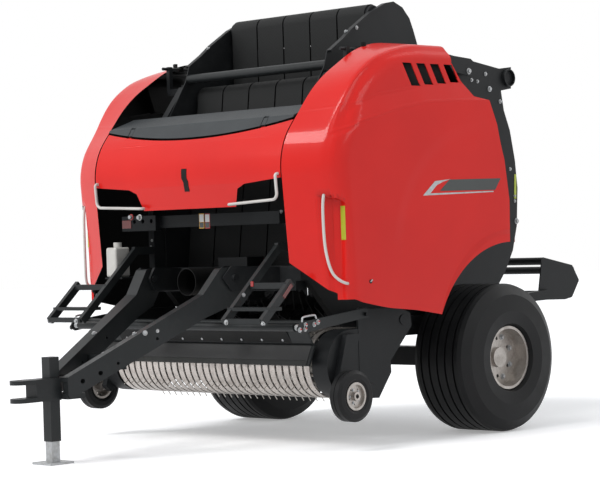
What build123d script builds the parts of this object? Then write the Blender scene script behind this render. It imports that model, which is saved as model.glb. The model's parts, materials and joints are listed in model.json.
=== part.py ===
from build123d import *
from math import atan2, cos, degrees, hypot, pi, radians, sin, sqrt, tan
import os

# Round baler with a variable belt chamber, parked on its wheels and its jack.
# Millimetres. The origin is on the ground under the middle of the axle.
# The drawbar points to -Y, the machine's left side is +X, and Z is up.

# Wheels and axle
wheel_radius = 465.0
tyre_width = 470.0
wheel_track_half = 985.0
rim_radius = 190.0
rim_wall = 9.0
rim_lip = 8.0
rim_gap = 0.3
bead_share = 0.8
hub_radius = 62.0
spindle_radius = 35.0
axle_size = 120.0
axle_half = 690.0

# Chamber walls and frame
wall_inner = 620.0
wall = 8.0
rail_depth = 50.0
rail_height = 120.0
rail_bottom = 620.0
rail_front = -950.0
upright_width = 90.0
front_upright_y = -1290.0
rear_upright_y = -110.0
frame_top = 2240.0
tailgate_hinge_y = -60.0
tailgate_hinge_z = 2380.0
hinge_pin_radius = 25.0
split_gap = 12.0

# Covers
cover_wall = 6.0
panel_inner = 842.0
panel_outer = 1232.0
panel_corner = 125.0
panel_hinge_x = 800.0
panel_hinge_z = 2395.0
hood_half = 832.0
cover_gap = 10.0
hood_edge_gap = 14.0
hood_edge_side = 1955.0
hood_edge_middle = 1880.0
hood_hinge_y = -1496.0
hood_hinge_z = 1972.0
hood_pin_radius = 4.0
hood_leaf_x = 600.0
hood_leaf_width = 30.0
hood_leaf_gap = 6.0
arch_radius = 728.0

# Drawbar, hitch and jack
drawbar_pin_x = 360.0
drawbar_pin_y = -1640.0
drawbar_pin_z = 1030.0
drawbar_front_x = 80.0
drawbar_front_y = -2680.0
drawbar_beam = 76.0
clevis_bore_radius = 16.0
clevis_y = -2950.0
clevis_gap = 78.0
clevis_plate = 25.0
clevis_z = 430.0
jack_y = -2722.0
jack_tube = 70.0
jack_wall = 6.0
jack_leg = 57.4
jack_tube_bottom = 130.0
jack_tube_top = 615.0
jack_leg_top = 250.0
jack_foot = 170.0

# Power input
pto_z = 1007.0
pto_stub_radius = 17.45
pto_stub_length = 76.0
shield_radius = 84.0
shield_front = -1640.0

# Pick-up
pickup_hinge_y = -800.0
pickup_hinge_z = 740.0
reel_y = -1245.0
reel_z = 475.0
band_y = -1270.0
band_z = 500.0
band_radius = 205.0
band_thick = 4.0
band_width = 42.0
band_count = 30
band_pitch = 58.0
tine_tip_radius = 255.0
tine_radius = 3.0
tine_bar_radius = 105.0
tine_rows = 4
drum_inner = 886.0
drum_outer = 1010.0
gauge_radius = 150.0
gauge_width = 92.0
gauge_x = 1136.0
gauge_y = -1410.0
gauge_z = 325.0
gauge_rim_radius = 74.0
guard_pivot_y = -1150.0
guard_pivot_z = 790.0
guard_roller_y = -1690.0
guard_roller_z = 738.0
guard_roller_radius = 24.0
rotor_radius = 205.0

# Tailgate cylinders
cylinder_x = 712.0
barrel_radius = 28.0
rod_radius = 16.0
barrel_base_y = -110.0
barrel_base_z = 830.0
rod_eye_y = 500.0
rod_eye_z = 1750.0
barrel_length = 880.0
rod_pad = 12.0
rod_pin_radius = 14.0

# Bale ramp
ramp_hinge_y = 620.0
ramp_hinge_z = 700.0
ramp_half = 560.0

# Belts
belt_count = 7
belt_pitch = 172.0
belt_width = 160.0
belt_thick = 8.0


def block(x0, x1, y0, y1, z0, z1):
    return Pos((x0 + x1) / 2, (y0 + y1) / 2, (z0 + z1) / 2) * Box(abs(x1 - x0), abs(y1 - y0), abs(z1 - z0))


def bar_x(x0, x1, y, z, radius):
    return Pos((x0 + x1) / 2, y, z) * Rot(0, 90, 0) * Cylinder(radius, abs(x1 - x0))


def pipe_x(x0, x1, y, z, radius, bore):
    return bar_x(x0, x1, y, z, radius) - bar_x(x0 - 1, x1 + 1, y, z, bore)


def bar_y(x, y0, y1, z, radius):
    return Pos(x, (y0 + y1) / 2, z) * Rot(90, 0, 0) * Cylinder(radius, abs(y1 - y0))


def rod_between(p, q, radius):
    a = Vector(*p)
    way = Vector(*q) - a
    low = (Align.CENTER, Align.CENTER, Align.MIN)
    return Plane(origin=a, z_dir=way) * Cylinder(radius, way.length, align=low)


def beam_between(p, q, width, height):
    # Rectangular bar from p to q, with its width level and across the way.
    a = Vector(*p)
    way = Vector(*q) - a
    across = way.cross(Vector(0, 0, 1))
    return extrude(Plane(origin=a, x_dir=across, z_dir=way) * Rectangle(width, height), amount=way.length)


def side_plate(x0, x1, points, radius=0.0):
    # Plate between two X values, its outline given as (Y, Z) points.
    face = make_face(Plane.YZ * Polyline(*points, close=True))
    if radius:
        face = fillet(face.vertices(), radius)
    return Pos(x0, 0, 0) * extrude(face, amount=x1 - x0, dir=(1, 0, 0))


def bent_bar(points, radii, radius):
    path = FilletPolyline(*points, radius=radii)
    start = Plane(origin=path @ 0, z_dir=path % 0)
    return sweep(start * Circle(radius), path=path)


def outer_piece(bar, cover):
    # The bar as far as the cover's outside: what would lie in or behind the cover is left out.
    return (bar - cover).solids().sort_by(SortBy.VOLUME)[-1]


def mirrored(shape):
    return mirror(shape, about=Plane.YZ)


def both_sides(shape):
    return shape + mirrored(shape)


# Running gear

def axle_beam():
    beam = block(-axle_half, axle_half, -axle_size / 2, axle_size / 2,
                 wheel_radius - axle_size / 2, wheel_radius + axle_size / 2)
    for side in (-1, 1):
        beam += bar_x(side * (axle_half - 5), side * (wheel_track_half + 40), 0, wheel_radius, spindle_radius)
        beam += bar_x(side * axle_half, side * (axle_half + 22), 0, wheel_radius, 80)
    return beam


def tyre(radius, width, seat, shoulder, grooves, groove_width, groove_depth):
    # Section in (radius, across), turned about the wheel's own axis.
    half = width / 2
    crown = radius
    wall_top = radius - shoulder
    bead = half * bead_share
    section = Polyline(
        (seat, -bead), (seat + rim_lip + 4, -bead), (seat + 24, -half * 0.95), ((seat + wall_top) / 2, -half),
        (wall_top, -half * 0.95), (crown - 10, -half * 0.80), (crown, -half * 0.68), (crown, half * 0.68),
        (crown - 10, half * 0.80), (wall_top, half * 0.95), ((seat + wall_top) / 2, half),
        (seat + 24, half * 0.95), (seat + rim_lip + 4, bead), (seat, bead), close=True)
    body = revolve(make_face(Plane.XZ * section), axis=Axis.Z)
    for index in range(grooves):
        level = (index - (grooves - 1) / 2) * (half * 1.36 / grooves)
        ring = Cylinder(radius + 5, groove_width) - Cylinder(radius - groove_depth, groove_width + 2)
        body -= Pos(0, 0, level) * ring
    return Rot(0, 90, 0) * body


def deep_rim(seat, wall_size, bead, lip, dish, hub, hole, holes, hole_ring):
    # Barrel with a lip outside each bead, a disc set in from the outer face, and a hub boss.
    half = bead + rim_gap + lip
    section = Polyline(
        (seat - wall_size, -half), (seat + rim_lip, -half), (seat + rim_lip, -half + lip), (seat, -half + lip),
        (seat, half - lip), (seat + rim_lip, half - lip), (seat + rim_lip, half), (seat - wall_size, half),
        close=True)
    barrel = revolve(make_face(Plane.XZ * section), axis=Axis.Z)
    disc_level = half - dish
    disc = Pos(0, 0, disc_level - 6) * Cylinder(seat - wall_size + 1, 12)
    boss = Pos(0, 0, disc_level - 30) * Cylinder(hub, 110)
    rim = barrel + disc + boss
    for index in range(holes):
        angle = radians(360 / holes * index)
        rim -= Pos(hole_ring * cos(angle), hole_ring * sin(angle), disc_level - 6) * Cylinder(hole, 30)
    return Rot(0, 90, 0) * rim


def main_tyre():
    return tyre(wheel_radius, tyre_width, rim_radius + rim_gap, 70, 5, 14, 14)


def main_rim():
    rim = deep_rim(rim_radius, rim_wall, tyre_width / 2 * bead_share, 10, 95, hub_radius, 11, 6, 118)
    return rim - Pos(-60, 0, 0) * Rot(0, 90, 0) * Cylinder(spindle_radius + 1, 260)


def gauge_tyre():
    return tyre(gauge_radius, gauge_width, gauge_rim_radius + rim_gap, 20, 1, 6, 3)


def gauge_rim():
    rim = deep_rim(gauge_rim_radius, 5, gauge_width / 2 * bead_share, 4, 18, 26, 5, 5, 48)
    return rim - Rot(0, 90, 0) * Cylinder(13, 300)


# Frame

def main_frame():
    outer = wall_inner + wall + rail_depth
    inner = wall_inner + wall
    middle = (inner + outer) / 2
    rail_top = rail_bottom + rail_height
    half_post = upright_width / 2
    one = block(inner, outer, rail_front, 90, rail_bottom, rail_top)
    one += beam_between((middle, -930, 690), (middle, front_upright_y + 10, 1070), rail_depth, 80)
    one += block(inner, outer, front_upright_y - half_post, front_upright_y + half_post, 1000, 1960)
    one += block(inner, outer, rear_upright_y - half_post, rear_upright_y + half_post, rail_bottom, 2420)
    one += beam_between((middle, front_upright_y + 20, 1900), (middle, -1000, frame_top), rail_depth, 80)
    one += block(inner, outer, -1010, rear_upright_y, frame_top - 40, frame_top + 40)
    # Axle hangers below the rail
    axle_top = wheel_radius + axle_size / 2
    one += side_plate(inner, outer, [(-130, rail_bottom + 5), (130, rail_bottom + 5), (70, axle_top), (-70, axle_top)])
    # Arms that carry the bale ramp
    one += side_plate(inner, inner + 30, [(40, 640), (90, 740), (640, 745), (670, 720), (640, 655), (120, 620)])
    one -= bar_x(inner - 5, outer + 5, ramp_hinge_y, ramp_hinge_z, 16.4)
    one -= bar_x(inner - 5, outer + 5, pickup_hinge_y, pickup_hinge_z, 62.3)
    # Tailgate hinge pin and the pin of the cylinder's base
    one += bar_x(inner, outer + 60, tailgate_hinge_y, tailgate_hinge_z, hinge_pin_radius)
    one += bar_x(outer - 2, cylinder_x + barrel_radius + 4, barrel_base_y, barrel_base_z, 14)
    # Arms and rod of the side panel's hinge
    for y in (-1000, -560):
        one += block(outer - 10, panel_hinge_x + 8, y - 15, y + 15, frame_top - 20, frame_top + 20)
        one += block(panel_hinge_x - 14, panel_hinge_x + 14, y - 15, y + 15, frame_top, panel_hinge_z + 14)
    one += bar_y(panel_hinge_x, -1060, -520, panel_hinge_z, 10)
    # Ears that hold the drawbar's beam, in line with it, and the pin through them
    for offset in (-drawbar_beam / 2 - 22, drawbar_beam / 2 + 6):
        ear = side_plate(offset, offset + 16, drawbar_flat([
            (-1300, 950), (-1640, 950), (-1700, 1030), (-1640, 1100), (-1300, 1085)]), 20)
        one += drawbar_place(ear)
    one += bar_x(drawbar_pin_x - 75, drawbar_pin_x + 80, drawbar_pin_y, drawbar_pin_z, 20)
    frame = both_sides(one)
    # Cross members in front of the chamber, with the hole for the input housing, and one over the axle
    frame += block(-inner - 10, inner + 10, -1335, -1245, 940, 1090) - bar_y(0, -1400, -1200, pto_z, 70.3)
    frame += block(-inner - 10, inner + 10, -1320, -1240, 1880, 1960)
    frame += block(-inner - 10, inner + 10, -90, -10, 640, 720)
    # Shelf that carries the oil tank
    frame += block(-805, -640, -1605, -1330, 1029.7, 1039.7)
    # Brackets and pins of the hood's hinge
    for side in (-1, 1):
        bracket = side_plate(side * 650 - 5, side * 650 + 5, [
            (hood_hinge_y - 7, hood_hinge_z - 7), (hood_hinge_y - 5, hood_hinge_z + 6), (-1400, 2005), (-1300, 1955),
            (-1300, 1900), (-1400, 1940)])
        frame += bracket + bar_x(side * 565, side * 655, hood_hinge_y, hood_hinge_z, hood_pin_radius)
    return frame


def front_wall_outline():
    # Chamber wall ahead of the split, from the hinge round the front to the floor.
    return [
        (28, 2433), (-136, 2450), (-180, 2564), (-215, 2639), (-280, 2705), (-364, 2738),
        (-469, 2719), (-612, 2655), (-783, 2546), (-867, 2480), (-987, 2401), (-1020, 2302),
        (-1240, 1960), (-1240, 1100), (-1100, 900), (-1010, 800), (-970, 560), (-650, 560), (-300, 640), (-100, 770), (60, 840)]


def side_walls():
    plate = side_plate(wall_inner, wall_inner + wall, front_wall_outline())
    plate -= bar_x(wall_inner - 5, wall_inner + wall + 5, pickup_hinge_y, pickup_hinge_z, 60)
    # Hub with the rotor's bearing inside and, on its end, the pivot of the pick-up
    face = wall_inner + wall
    hub = pipe_x(face, drum_outer - 35, pickup_hinge_y, pickup_hinge_z, 62, 48)
    hub += pipe_x(face, face + 40, pickup_hinge_y, pickup_hinge_z, 60, 30.3)
    hub += bar_x(drum_outer - 43, drum_outer - 32, pickup_hinge_y, pickup_hinge_z, 62)
    hub += bar_x(drum_outer - 33, drum_outer + 8, pickup_hinge_y, pickup_hinge_z, 30)
    rim_band = side_plate(wall_inner + wall, wall_inner + wall + 26,
                          [(-987, 2401), (-867, 2480), (-783, 2546), (-612, 2655), (-469, 2719),
                           (-463, 2704), (-604, 2641), (-774, 2532), (-858, 2466), (-977, 2388)])
    return both_sides(plate + hub + rim_band)


def drawbar_flat(outline):
    # A side view of the drawbar laid along its own splayed beam.
    span = drawbar_pin_x - drawbar_front_x
    run = drawbar_pin_y - drawbar_front_y
    stretch = hypot(span, run) / run
    return [((y - drawbar_front_y) * stretch, z) for y, z in outline]


def drawbar_place(shape):
    turn = degrees(atan2(drawbar_pin_x - drawbar_front_x, drawbar_pin_y - drawbar_front_y))
    return Pos(drawbar_front_x, drawbar_front_y, 0) * Rot(0, 0, -turn) * shape


def drawbar():
    outline = [
        (drawbar_front_y, 362), (drawbar_front_y, 497), (-1820, 935), (-1700, 1090), (-1580, 1090), (-1560, 960),
        (-1640, 860), (-1800, 800), (-1930, 735)]
    beam = drawbar_place(side_plate(-drawbar_beam / 2, drawbar_beam / 2, drawbar_flat(outline), 25))
    beam -= bar_x(drawbar_pin_x - 90, drawbar_pin_x + 90, drawbar_pin_y, drawbar_pin_z, 20.5)
    for y, z, radius in ((-2600, 470, 14), (-2490, 510, 14), (-2380, 560, 9), (-2130, 690, 9)):
        beam -= bar_x(-50, 400, y, z, radius)
    beams = both_sides(beam)
    head = jack_y + jack_tube / 2
    beams += block(-112, 112, head, -2560, 370, 400)
    beams += block(-112, 112, head, -2560, 470, 495)
    beams += block(-180, 180, -2330, -2300, 520, 600)
    return beams


def hitch_clevis():
    cheek_gap = jack_tube / 2 + 0.3
    low = clevis_z - clevis_gap / 2 - clevis_plate
    high = clevis_z + clevis_gap / 2 + clevis_plate
    cheek = block(cheek_gap, cheek_gap + 14, -2860, jack_y + jack_tube / 2, low, high)
    clevis = both_sides(cheek)
    clevis += block(-cheek_gap - 14, cheek_gap + 14, -2866, jack_y - jack_tube / 2 - 20, low, high)
    for z in (low, high - clevis_plate):
        tongue = block(-55, 55, clevis_y, -2850, z, z + clevis_plate)
        tongue += Pos(0, clevis_y, z + clevis_plate / 2) * Cylinder(55, clevis_plate)
        clevis += tongue
    clevis -= Pos(0, clevis_y, clevis_z) * Cylinder(clevis_bore_radius, 200)
    return clevis


def jack_outer():
    height = jack_tube_top - jack_tube_bottom
    tube = Pos(0, jack_y, jack_tube_bottom + height / 2) * Box(jack_tube, jack_tube, height)
    bore = jack_tube - 2 * jack_wall
    tube -= Pos(0, jack_y, jack_tube_bottom + (height - 10) / 2 - 1) * Box(bore, bore, height - 10)
    return tube


def jack_inner():
    leg = Pos(0, jack_y, jack_leg_top / 2) * Box(jack_leg, jack_leg, jack_leg_top)
    leg -= Pos(0, jack_y, jack_leg_top / 2 + 20) * Box(jack_leg - 10, jack_leg - 10, jack_leg_top)
    foot = Pos(0, jack_y, 6) * Box(jack_foot, jack_foot, 12)
    return leg + foot


# Power input and fittings

def gearbox():
    box = block(-130, 130, -1244, -1100, pto_z - 130, pto_z + 140)
    box += bar_y(0, -1400, -1240, pto_z, 70)
    box += bar_x(125, wall_inner - 1, -1170, pto_z, 32)
    return box


def pto_shield():
    outer = bar_y(0, shield_front, -1340, pto_z, shield_radius)
    bore = bar_y(0, shield_front - 5, -1402, pto_z, shield_radius - 4)
    neck = bar_y(0, -1405, -1335, pto_z, 70.3)
    return outer - bore - neck


def pto_stub():
    stub = bar_y(0, -1400 - pto_stub_length - 24, -1424, pto_z, pto_stub_radius)
    return stub + bar_y(0, -1424, -1400.3, pto_z, 32)


def front_beam():
    outer = wall_inner + wall + rail_depth
    beam = block(-outer, outer, -1500, -1400, 1345, 1420)
    for side in (-1, 1):
        beam += block(side * (outer - 50), side * outer, -1420, -1335.3, 1330, 1430)
    beam += block(-700, -380, -1540, -1480, 1330, 1425)
    for x in (-660, -580, -500, -420):
        beam -= bar_y(x, -1600, -1470, 1390, 14)
    return beam


def oil_tank():
    tank = fillet(block(-800, -700, -1600, -1480, 1040, 1230).edges(), 14)
    return tank + Pos(-750, -1540, 1245) * Cylinder(26, 34)


def steps():
    # Ladder beside the pick-up: two rails, a tube rung, a tread and a low rung.
    inner_x = 645
    outer_x = 955
    foot = (-1945, 778)
    head = (-1470, 1215)
    ladder = beam_between((inner_x, foot[0], foot[1]), (inner_x, head[0], head[1]), 30, 46)
    ladder += beam_between((outer_x, foot[0], foot[1]), (outer_x, -1700, 1003), 30, 46)
    ladder += block(inner_x, outer_x, -1745, -1710, 965, 1000)
    ladder += block(inner_x, outer_x, -1960, -1920, 770, 800)
    ladder += block(inner_x - 20, outer_x + 20, -1900, -1800, 842, 862)
    ladder += block(inner_x - 15, inner_x + 15, -1500, -1335.3, 1180, 1230)
    return both_sides(ladder)


# Covers

def cover_section(inset):
    # Front and top of the bodywork seen from the side.
    # Each corner below the roof is rounded about a centre inside the cover.
    shift = inset * 0.6
    drop = inset * 0.8
    corners = [(-1648 + inset, 1790 - inset * 0.4, 400), (-1330 + shift, 2180 - drop, 900), (-900, 2440 - inset, 700)]
    points = [(-1560 + inset, 700)] + [(y, z) for y, z, radius in corners] + [(200, 2440 - inset), (200, 700)]
    face = make_face(Plane.YZ * Polyline(*points, close=True))
    for y, z, radius in corners:
        near = face.vertices().sort_by_distance((0, y, z))[0]
        face = fillet(near, radius - inset)
    return face


def panel_mass(inset):
    face = cover_section(inset)
    body = extrude(face, amount=panel_outer - inset, dir=(1, 0, 0))
    edges = [edge for edge in body.edges().filter_by_position(Axis.X, panel_outer - inset - 1, panel_outer - inset + 1)
             if edge.center().Y < 150 and edge.center().Z > 750]
    return fillet(edges, panel_corner - inset)


def side_panel():
    shell = panel_mass(0) - panel_mass(cover_wall)
    shell -= block(-10, panel_inner, -2000, 400, 0, 3000)
    # Outline of the panel from the side: bottom, arch over the wheel and stepped rear edge.
    arch_start = (-662, wheel_radius + sqrt(arch_radius ** 2 - 662 ** 2))
    arch_end = (-14, wheel_radius + sqrt(arch_radius ** 2 - 14 ** 2))
    arch_mid = (-arch_radius * sin(radians(35)), wheel_radius + arch_radius * cos(radians(35)))
    rear = [arch_end, (-7, 1454), (-45, 1705), (-114, 1923), (-195, 2076), (-330, 2097), (-420, 2193),
            (-500, 2300), (-500, 2600), (-1800, 2600), (-1800, 889), (-1487, 889), (-1403, 868), (-1100, 825),
            (-877, 803), arch_start]
    edge = Polyline(*rear) + ThreePointArc(arch_start, arch_mid, arch_end)
    keep = extrude(make_face(Plane.YZ * edge), amount=1400, dir=(1, 0, 0))
    shell &= keep
    slant = make_face(Plane.XZ * Polyline((820, 1125), (1140, 925), (1140, 600), (820, 600), close=True))
    shell -= Pos(0, -1380, 0) * extrude(slant, amount=500, dir=(0, -1, 0))
    for index in range(4):
        y = -935 + 121 * index
        low = 2150 + 10 * index
        drop = 2287 - low
        slot = [(y, 2287), (y + 77, 2287), (y + 77 + 0.55 * drop, low), (y + 0.55 * drop, low)]
        shell -= side_plate(1100, 1300, slot)
    # Hinge lugs on the rod under the roof
    for y in (-900, -660):
        lug = block(panel_hinge_x - 16, panel_inner + 20, y - 12, y + 12, panel_hinge_z - 16, panel_hinge_z + 16)
        lug += block(panel_inner, panel_inner + 20, y - 12, y + 12, panel_hinge_z, 2437)
        shell += lug - bar_y(panel_hinge_x, y - 20, y + 20, panel_hinge_z, 10.4)
    return shell


def grab_bar():
    points = [(1085, -1590, 1500), (1095, -1618, 1480), (1100, -1612, 1240), (1125, -1575, 1095),
              (1150, -1530, 1040), (1150, -1500, 1040)]
    return outer_piece(bent_bar(points, [12, 60, 60, 10], 9), side_panel())


def hood_region(gap):
    # Outline of the hood seen from the front, with the two notches for the handles.
    edge = hood_half - gap
    points = [(edge, hood_edge_side), (edge, 1613), (520, 1588), (455, 1560), (415, 1454), (-415, 1454),
              (-455, 1560), (-520, 1588), (-edge, 1613), (-edge, hood_edge_side)]
    outline = Polyline(*points) + ThreePointArc((-edge, hood_edge_side), (0, hood_edge_middle), (edge, hood_edge_side))
    return make_face(Plane.XZ * outline)


def hood():
    ring = cover_section(0) - cover_section(cover_wall)
    body = Pos(-hood_half, 0, 0) * extrude(ring, amount=2 * hood_half, dir=(1, 0, 0))
    body &= Pos(0, -1350, 0) * extrude(hood_region(0), amount=450, dir=(0, -1, 0))
    # Two hinge leaves reach up behind the edge to the knuckles under the top cover.
    for x in (-hood_leaf_x, hood_leaf_x):
        low, high = x - hood_leaf_width / 2, x + hood_leaf_width / 2
        leaf = side_plate(low, high, [
            (hood_hinge_y - 4, hood_hinge_z), (hood_hinge_y + 4, hood_hinge_z), (-1545, 1880), (-1575, 1850),
            (-1583, 1862)])
        leaf += bar_x(low, high, hood_hinge_y, hood_hinge_z, hood_pin_radius + 2)
        body += leaf - bar_x(low - 10, high + 10, hood_hinge_y, hood_hinge_z, hood_pin_radius + 0.2)
    return body


def front_face_y(z):
    # The straight lower part of the bodywork's front leans forward as it rises.
    return -1560 - 88 * (z - 700) / 1090


def hood_handles():
    # Tube across each notch, its ends bent back to the hood's face.
    stand = 24
    high, low, end = 1636, 1486, 1468
    points = [(812, front_face_y(high) + 20, high), (812, front_face_y(high) - stand, high),
              (812, front_face_y(low) - stand, low), (392, front_face_y(end) - stand, end),
              (392, front_face_y(end) + 20, end)]
    bar = bent_bar(points, [16, 40, 16], 9)
    behind = side_plate(300, 900, [(front_face_y(700), 700), (front_face_y(1790), 1790), (-1400, 1790), (-1400, 700)])
    return both_sides(bar - behind)


def top_cover():
    # Grey panel behind the hood, its front edge curved like the hood's rear edge.
    profile = [(-1600, 1830), (-1572, 1880), (-1505, 1984), (-1300, 2055), (-1280, 2020), (-1286, 2018),
               (-1305, 2048), (-1501, 1978), (-1566, 1876), (-1594, 1828)]
    body = side_plate(-hood_half + 2, hood_half - 2, profile)
    top = hood_edge_side + hood_edge_gap
    points = [(-hood_half, top), (-hood_half, 2200), (hood_half, 2200), (hood_half, top)]
    outline = Polyline(*points) + ThreePointArc(
        (hood_half, top), (0, hood_edge_middle + hood_edge_gap), (-hood_half, top))
    body &= Pos(0, -1100, 0) * extrude(make_face(Plane.XZ * outline), amount=700, dir=(0, -1, 0))
    # Notches that the hood's hinge leaves swing through
    notch = hood_leaf_width / 2 + hood_leaf_gap
    body -= both_sides(block(hood_leaf_x - notch, hood_leaf_x + notch, -1620, hood_hinge_y + hood_leaf_gap, 1800, 2100))
    return body + both_sides(block(590, 615, -1340, -1245, 1960.3, 2040))


# Belts and rollers

def loop_band(centres, radius, thick):
    # Belt seen from the side, round rollers whose centres run anticlockwise.
    hull = make_hull(ShapeList([edge for y, z in centres
                                for edge in (Pos(y, z) * Circle(radius + thick)).edges()]))
    core = make_hull(ShapeList([edge for y, z in centres for edge in (Pos(y, z) * Circle(radius)).edges()]))
    return Plane.YZ * (hull - core)


front_rollers = [(-1010, 1040, 60), (-870, 2300, 60), (-480, 2655, 60), (-260, 2300, 60), (-840, 1060, 60)]
rear_rollers = [(120, 2240, 60), (610, 2180, 60), (735, 1560, 60), (600, 1030, 60), (470, 960, 60)]


def belts(centres):
    band = loop_band([(y, z) for y, z, radius in centres], 60, belt_thick)
    strips = None
    for index in range(belt_count):
        x = (index - (belt_count - 1) / 2) * belt_pitch
        strip = Pos(x - belt_width / 2, 0, 0) * extrude(band, amount=belt_width, dir=(1, 0, 0))
        strips = strip if strips is None else strips + strip
    return strips


def rollers(centres):
    group = None
    for y, z, radius in centres:
        roller = bar_x(-wall_inner + 0.3, wall_inner - 0.3, y, z, radius - 0.4)
        group = roller if group is None else group + roller
    return group


def roller_bar():
    return bar_x(-wall_inner + 0.3, wall_inner - 0.3, -985, 2315, 30)


# Pick-up

def feed_rotor():
    rotor = bar_x(-wall_inner + 12, wall_inner - 12, pickup_hinge_y, pickup_hinge_z, 90)
    rotor += bar_x(-drum_outer + 45, drum_outer - 45, pickup_hinge_y, pickup_hinge_z, 30)
    for index in range(12):
        x = -550 + 100 * index
        star = None
        for arm in range(3):
            blade = side_plate(x - 6, x + 6, [(-rotor_radius, -18), (-rotor_radius, 18), (0, 55), (rotor_radius, 18),
                                              (rotor_radius, -18), (0, -55)])
            turned = Pos(0, pickup_hinge_y, pickup_hinge_z) * Rot(arm * 60 + index * 15, 0, 0) * blade
            star = turned if star is None else star + turned
        rotor += star
    return rotor


def pickup_frame():
    # End drums, rear beam and the arms that hang on the chamber's hubs.
    drum = side_plate(drum_inner, drum_outer, [
        (band_y, band_z + band_radius), (-1040, band_z + band_radius), (-920, 560), (-915, 430),
        (-1030, band_z - band_radius - 12), (band_y, band_z - band_radius)])
    drum += bar_x(drum_inner, drum_outer, band_y, band_z, band_radius)
    drum -= bar_x(drum_inner - 5, drum_inner + 60, reel_y, reel_z, 34.4)
    arm = side_plate(drum_outer - 14, drum_outer + 2, [
        (-1199, 817), (-843, 821), (-730, 780), (-720, 700), (-967, 452), (-1061, 363), (-1200, 420)], 15)
    arm -= bar_x(drum_outer - 40, drum_outer + 20, pickup_hinge_y, pickup_hinge_z, 30.4)
    # Gauge wheel arm with its axle
    carrier = side_plate(drum_outer, drum_outer + 40, [
        (-1340, 680), (-1230, 680), (-1330, 330), (-1410, 290), (-1450, 330)], 10)
    carrier += bar_x(drum_outer + 20, gauge_x + 30, gauge_y, gauge_z, 12.5)
    # Ear for the wind guard
    ear = side_plate(drum_outer - 14, drum_outer + 2, [(-1200, 700), (-1190, 830), (-1110, 830), (-1060, 700)])
    ear += bar_x(drum_outer, drum_outer + 34, guard_pivot_y, guard_pivot_z, 12)
    one = drum + arm + carrier + ear
    frame = both_sides(one)
    return frame + block(-drum_inner - 2, drum_inner + 2, -975, -925, 440, 520)


def band_face(radius):
    # The space inside a stripper band: round in front, flat above and below, open behind.
    nose = Pos(band_y, band_z) * Circle(radius)
    tail = Polyline((band_y, band_z - radius), (-1030, band_z - radius), (-1030, band_z + radius),
                    (band_y, band_z + radius), close=True)
    return nose + make_face(tail)


def stripper_bands():
    inner = band_face(band_radius - band_thick) + Pos(-1040, band_z) * Rectangle(100, 2 * (band_radius - band_thick))
    ring = Plane.YZ * (band_face(band_radius) - inner)
    bands = None
    for index in range(band_count):
        x = (index - (band_count - 1) / 2) * band_pitch
        band = Pos(x - band_width / 2, 0, 0) * extrude(ring, amount=band_width, dir=(1, 0, 0))
        bands = band if bands is None else bands + band
    half = drum_inner - 0.3
    bands += block(-half, half, -1050, -1030, band_z + band_radius - 30, band_z + band_radius)
    bands += block(-half, half, -1050, -1030, band_z - band_radius - 12, band_z - band_radius + 4)
    return bands


def reel():
    drum = bar_x(-drum_inner - 40, drum_inner + 40, reel_y, reel_z, 34)
    for x in (-840, -420, 0, 420, 840):
        drum += bar_x(x - 5, x + 5, reel_y, reel_z, tine_bar_radius + 20)
    for row in range(tine_rows):
        angle = radians(-112 + 360 / tine_rows * row)
        centre = (reel_y - tine_bar_radius * cos(angle), reel_z + tine_bar_radius * sin(angle))
        drum += bar_x(-845, 845, centre[0], centre[1], 12)
        for index in range(band_count - 1):
            x = (index - (band_count - 2) / 2) * band_pitch
            reach = tine_tip_radius - tine_radius
            sweep_back = radians(-8)
            tip = (reel_y - reach * cos(angle + sweep_back), reel_z + reach * sin(angle + sweep_back))
            drum += rod_between((x, centre[0], centre[1]), (x, tip[0], tip[1]), tine_radius)
    return drum


def wind_guard():
    arm = side_plate(drum_outer + 5, drum_outer + 17, [
        (-1120, 770), (-1130, 820), (-1180, 825), (guard_roller_y - 10, guard_roller_z + 30),
        (guard_roller_y - 40, guard_roller_z - 10), (guard_roller_y, guard_roller_z - 35), (-1180, 765)], 8)
    arm -= bar_x(drum_outer, drum_outer + 40, guard_pivot_y, guard_pivot_z, 12.4)
    arm += bar_x(drum_outer - 100, drum_outer + 10, guard_roller_y, guard_roller_z, 10)
    plate = side_plate(-drum_inner - 40, drum_inner + 40, [
        (-1575, 745), (-1560, 750), (-1500, 640), (-1478, 620), (-1530, 502), (-1542, 506), (-1490, 624), (-1512, 636)])
    plate += bar_x(-drum_outer - 6, drum_outer + 6, -1570, 755, 20)
    return both_sides(arm) + plate


def guard_roller():
    roller = bar_x(-drum_outer + 40, drum_outer - 40, guard_roller_y, guard_roller_z, guard_roller_radius)
    return roller - bar_x(-drum_outer, drum_outer, guard_roller_y, guard_roller_z, 10.4)


# Tailgate

def tailgate_outline():
    return [
        (52, 2440), (680, 2350), (809, 2365), (802, 2220), (694, 2203), (719, 2070), (777, 1937),
        (822, 1735), (841, 1550), (822, 1298), (771, 1130), (689, 999), (560, 850), (300, 780), (72, 845)]


def tailgate_sides():
    # Each side has the arm of its hinge outside the frame's post, and the pad that the rod's pin stands on.
    face = wall_inner + wall
    plate = side_plate(wall_inner, face, tailgate_outline())
    arm_inner = face + rail_depth + 5
    arm = side_plate(arm_inner, arm_inner + 16, [
        (-110, 2330), (-110, 2425), (300, 2395), (420, 2320), (300, 2280), (0, 2320)], 20)
    arm -= bar_x(arm_inner - 5, arm_inner + 30, tailgate_hinge_y, tailgate_hinge_z, hinge_pin_radius + 0.4)
    spacer = block(face - 1, arm_inner + 1, 140, 300, 2300, 2370)
    pad = bar_x(face - 1, face + rod_pad, rod_eye_y, rod_eye_z, 60)
    return both_sides(plate + arm + spacer + pad)


def tailgate_beams():
    span = wall_inner - 0.3
    tube = bar_x(-span, span, 745, 2290, 40)
    return tube + block(-span, span, 540, 596, 862, 892) + block(-span, span, 745, 775, 1200, 1260)


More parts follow.
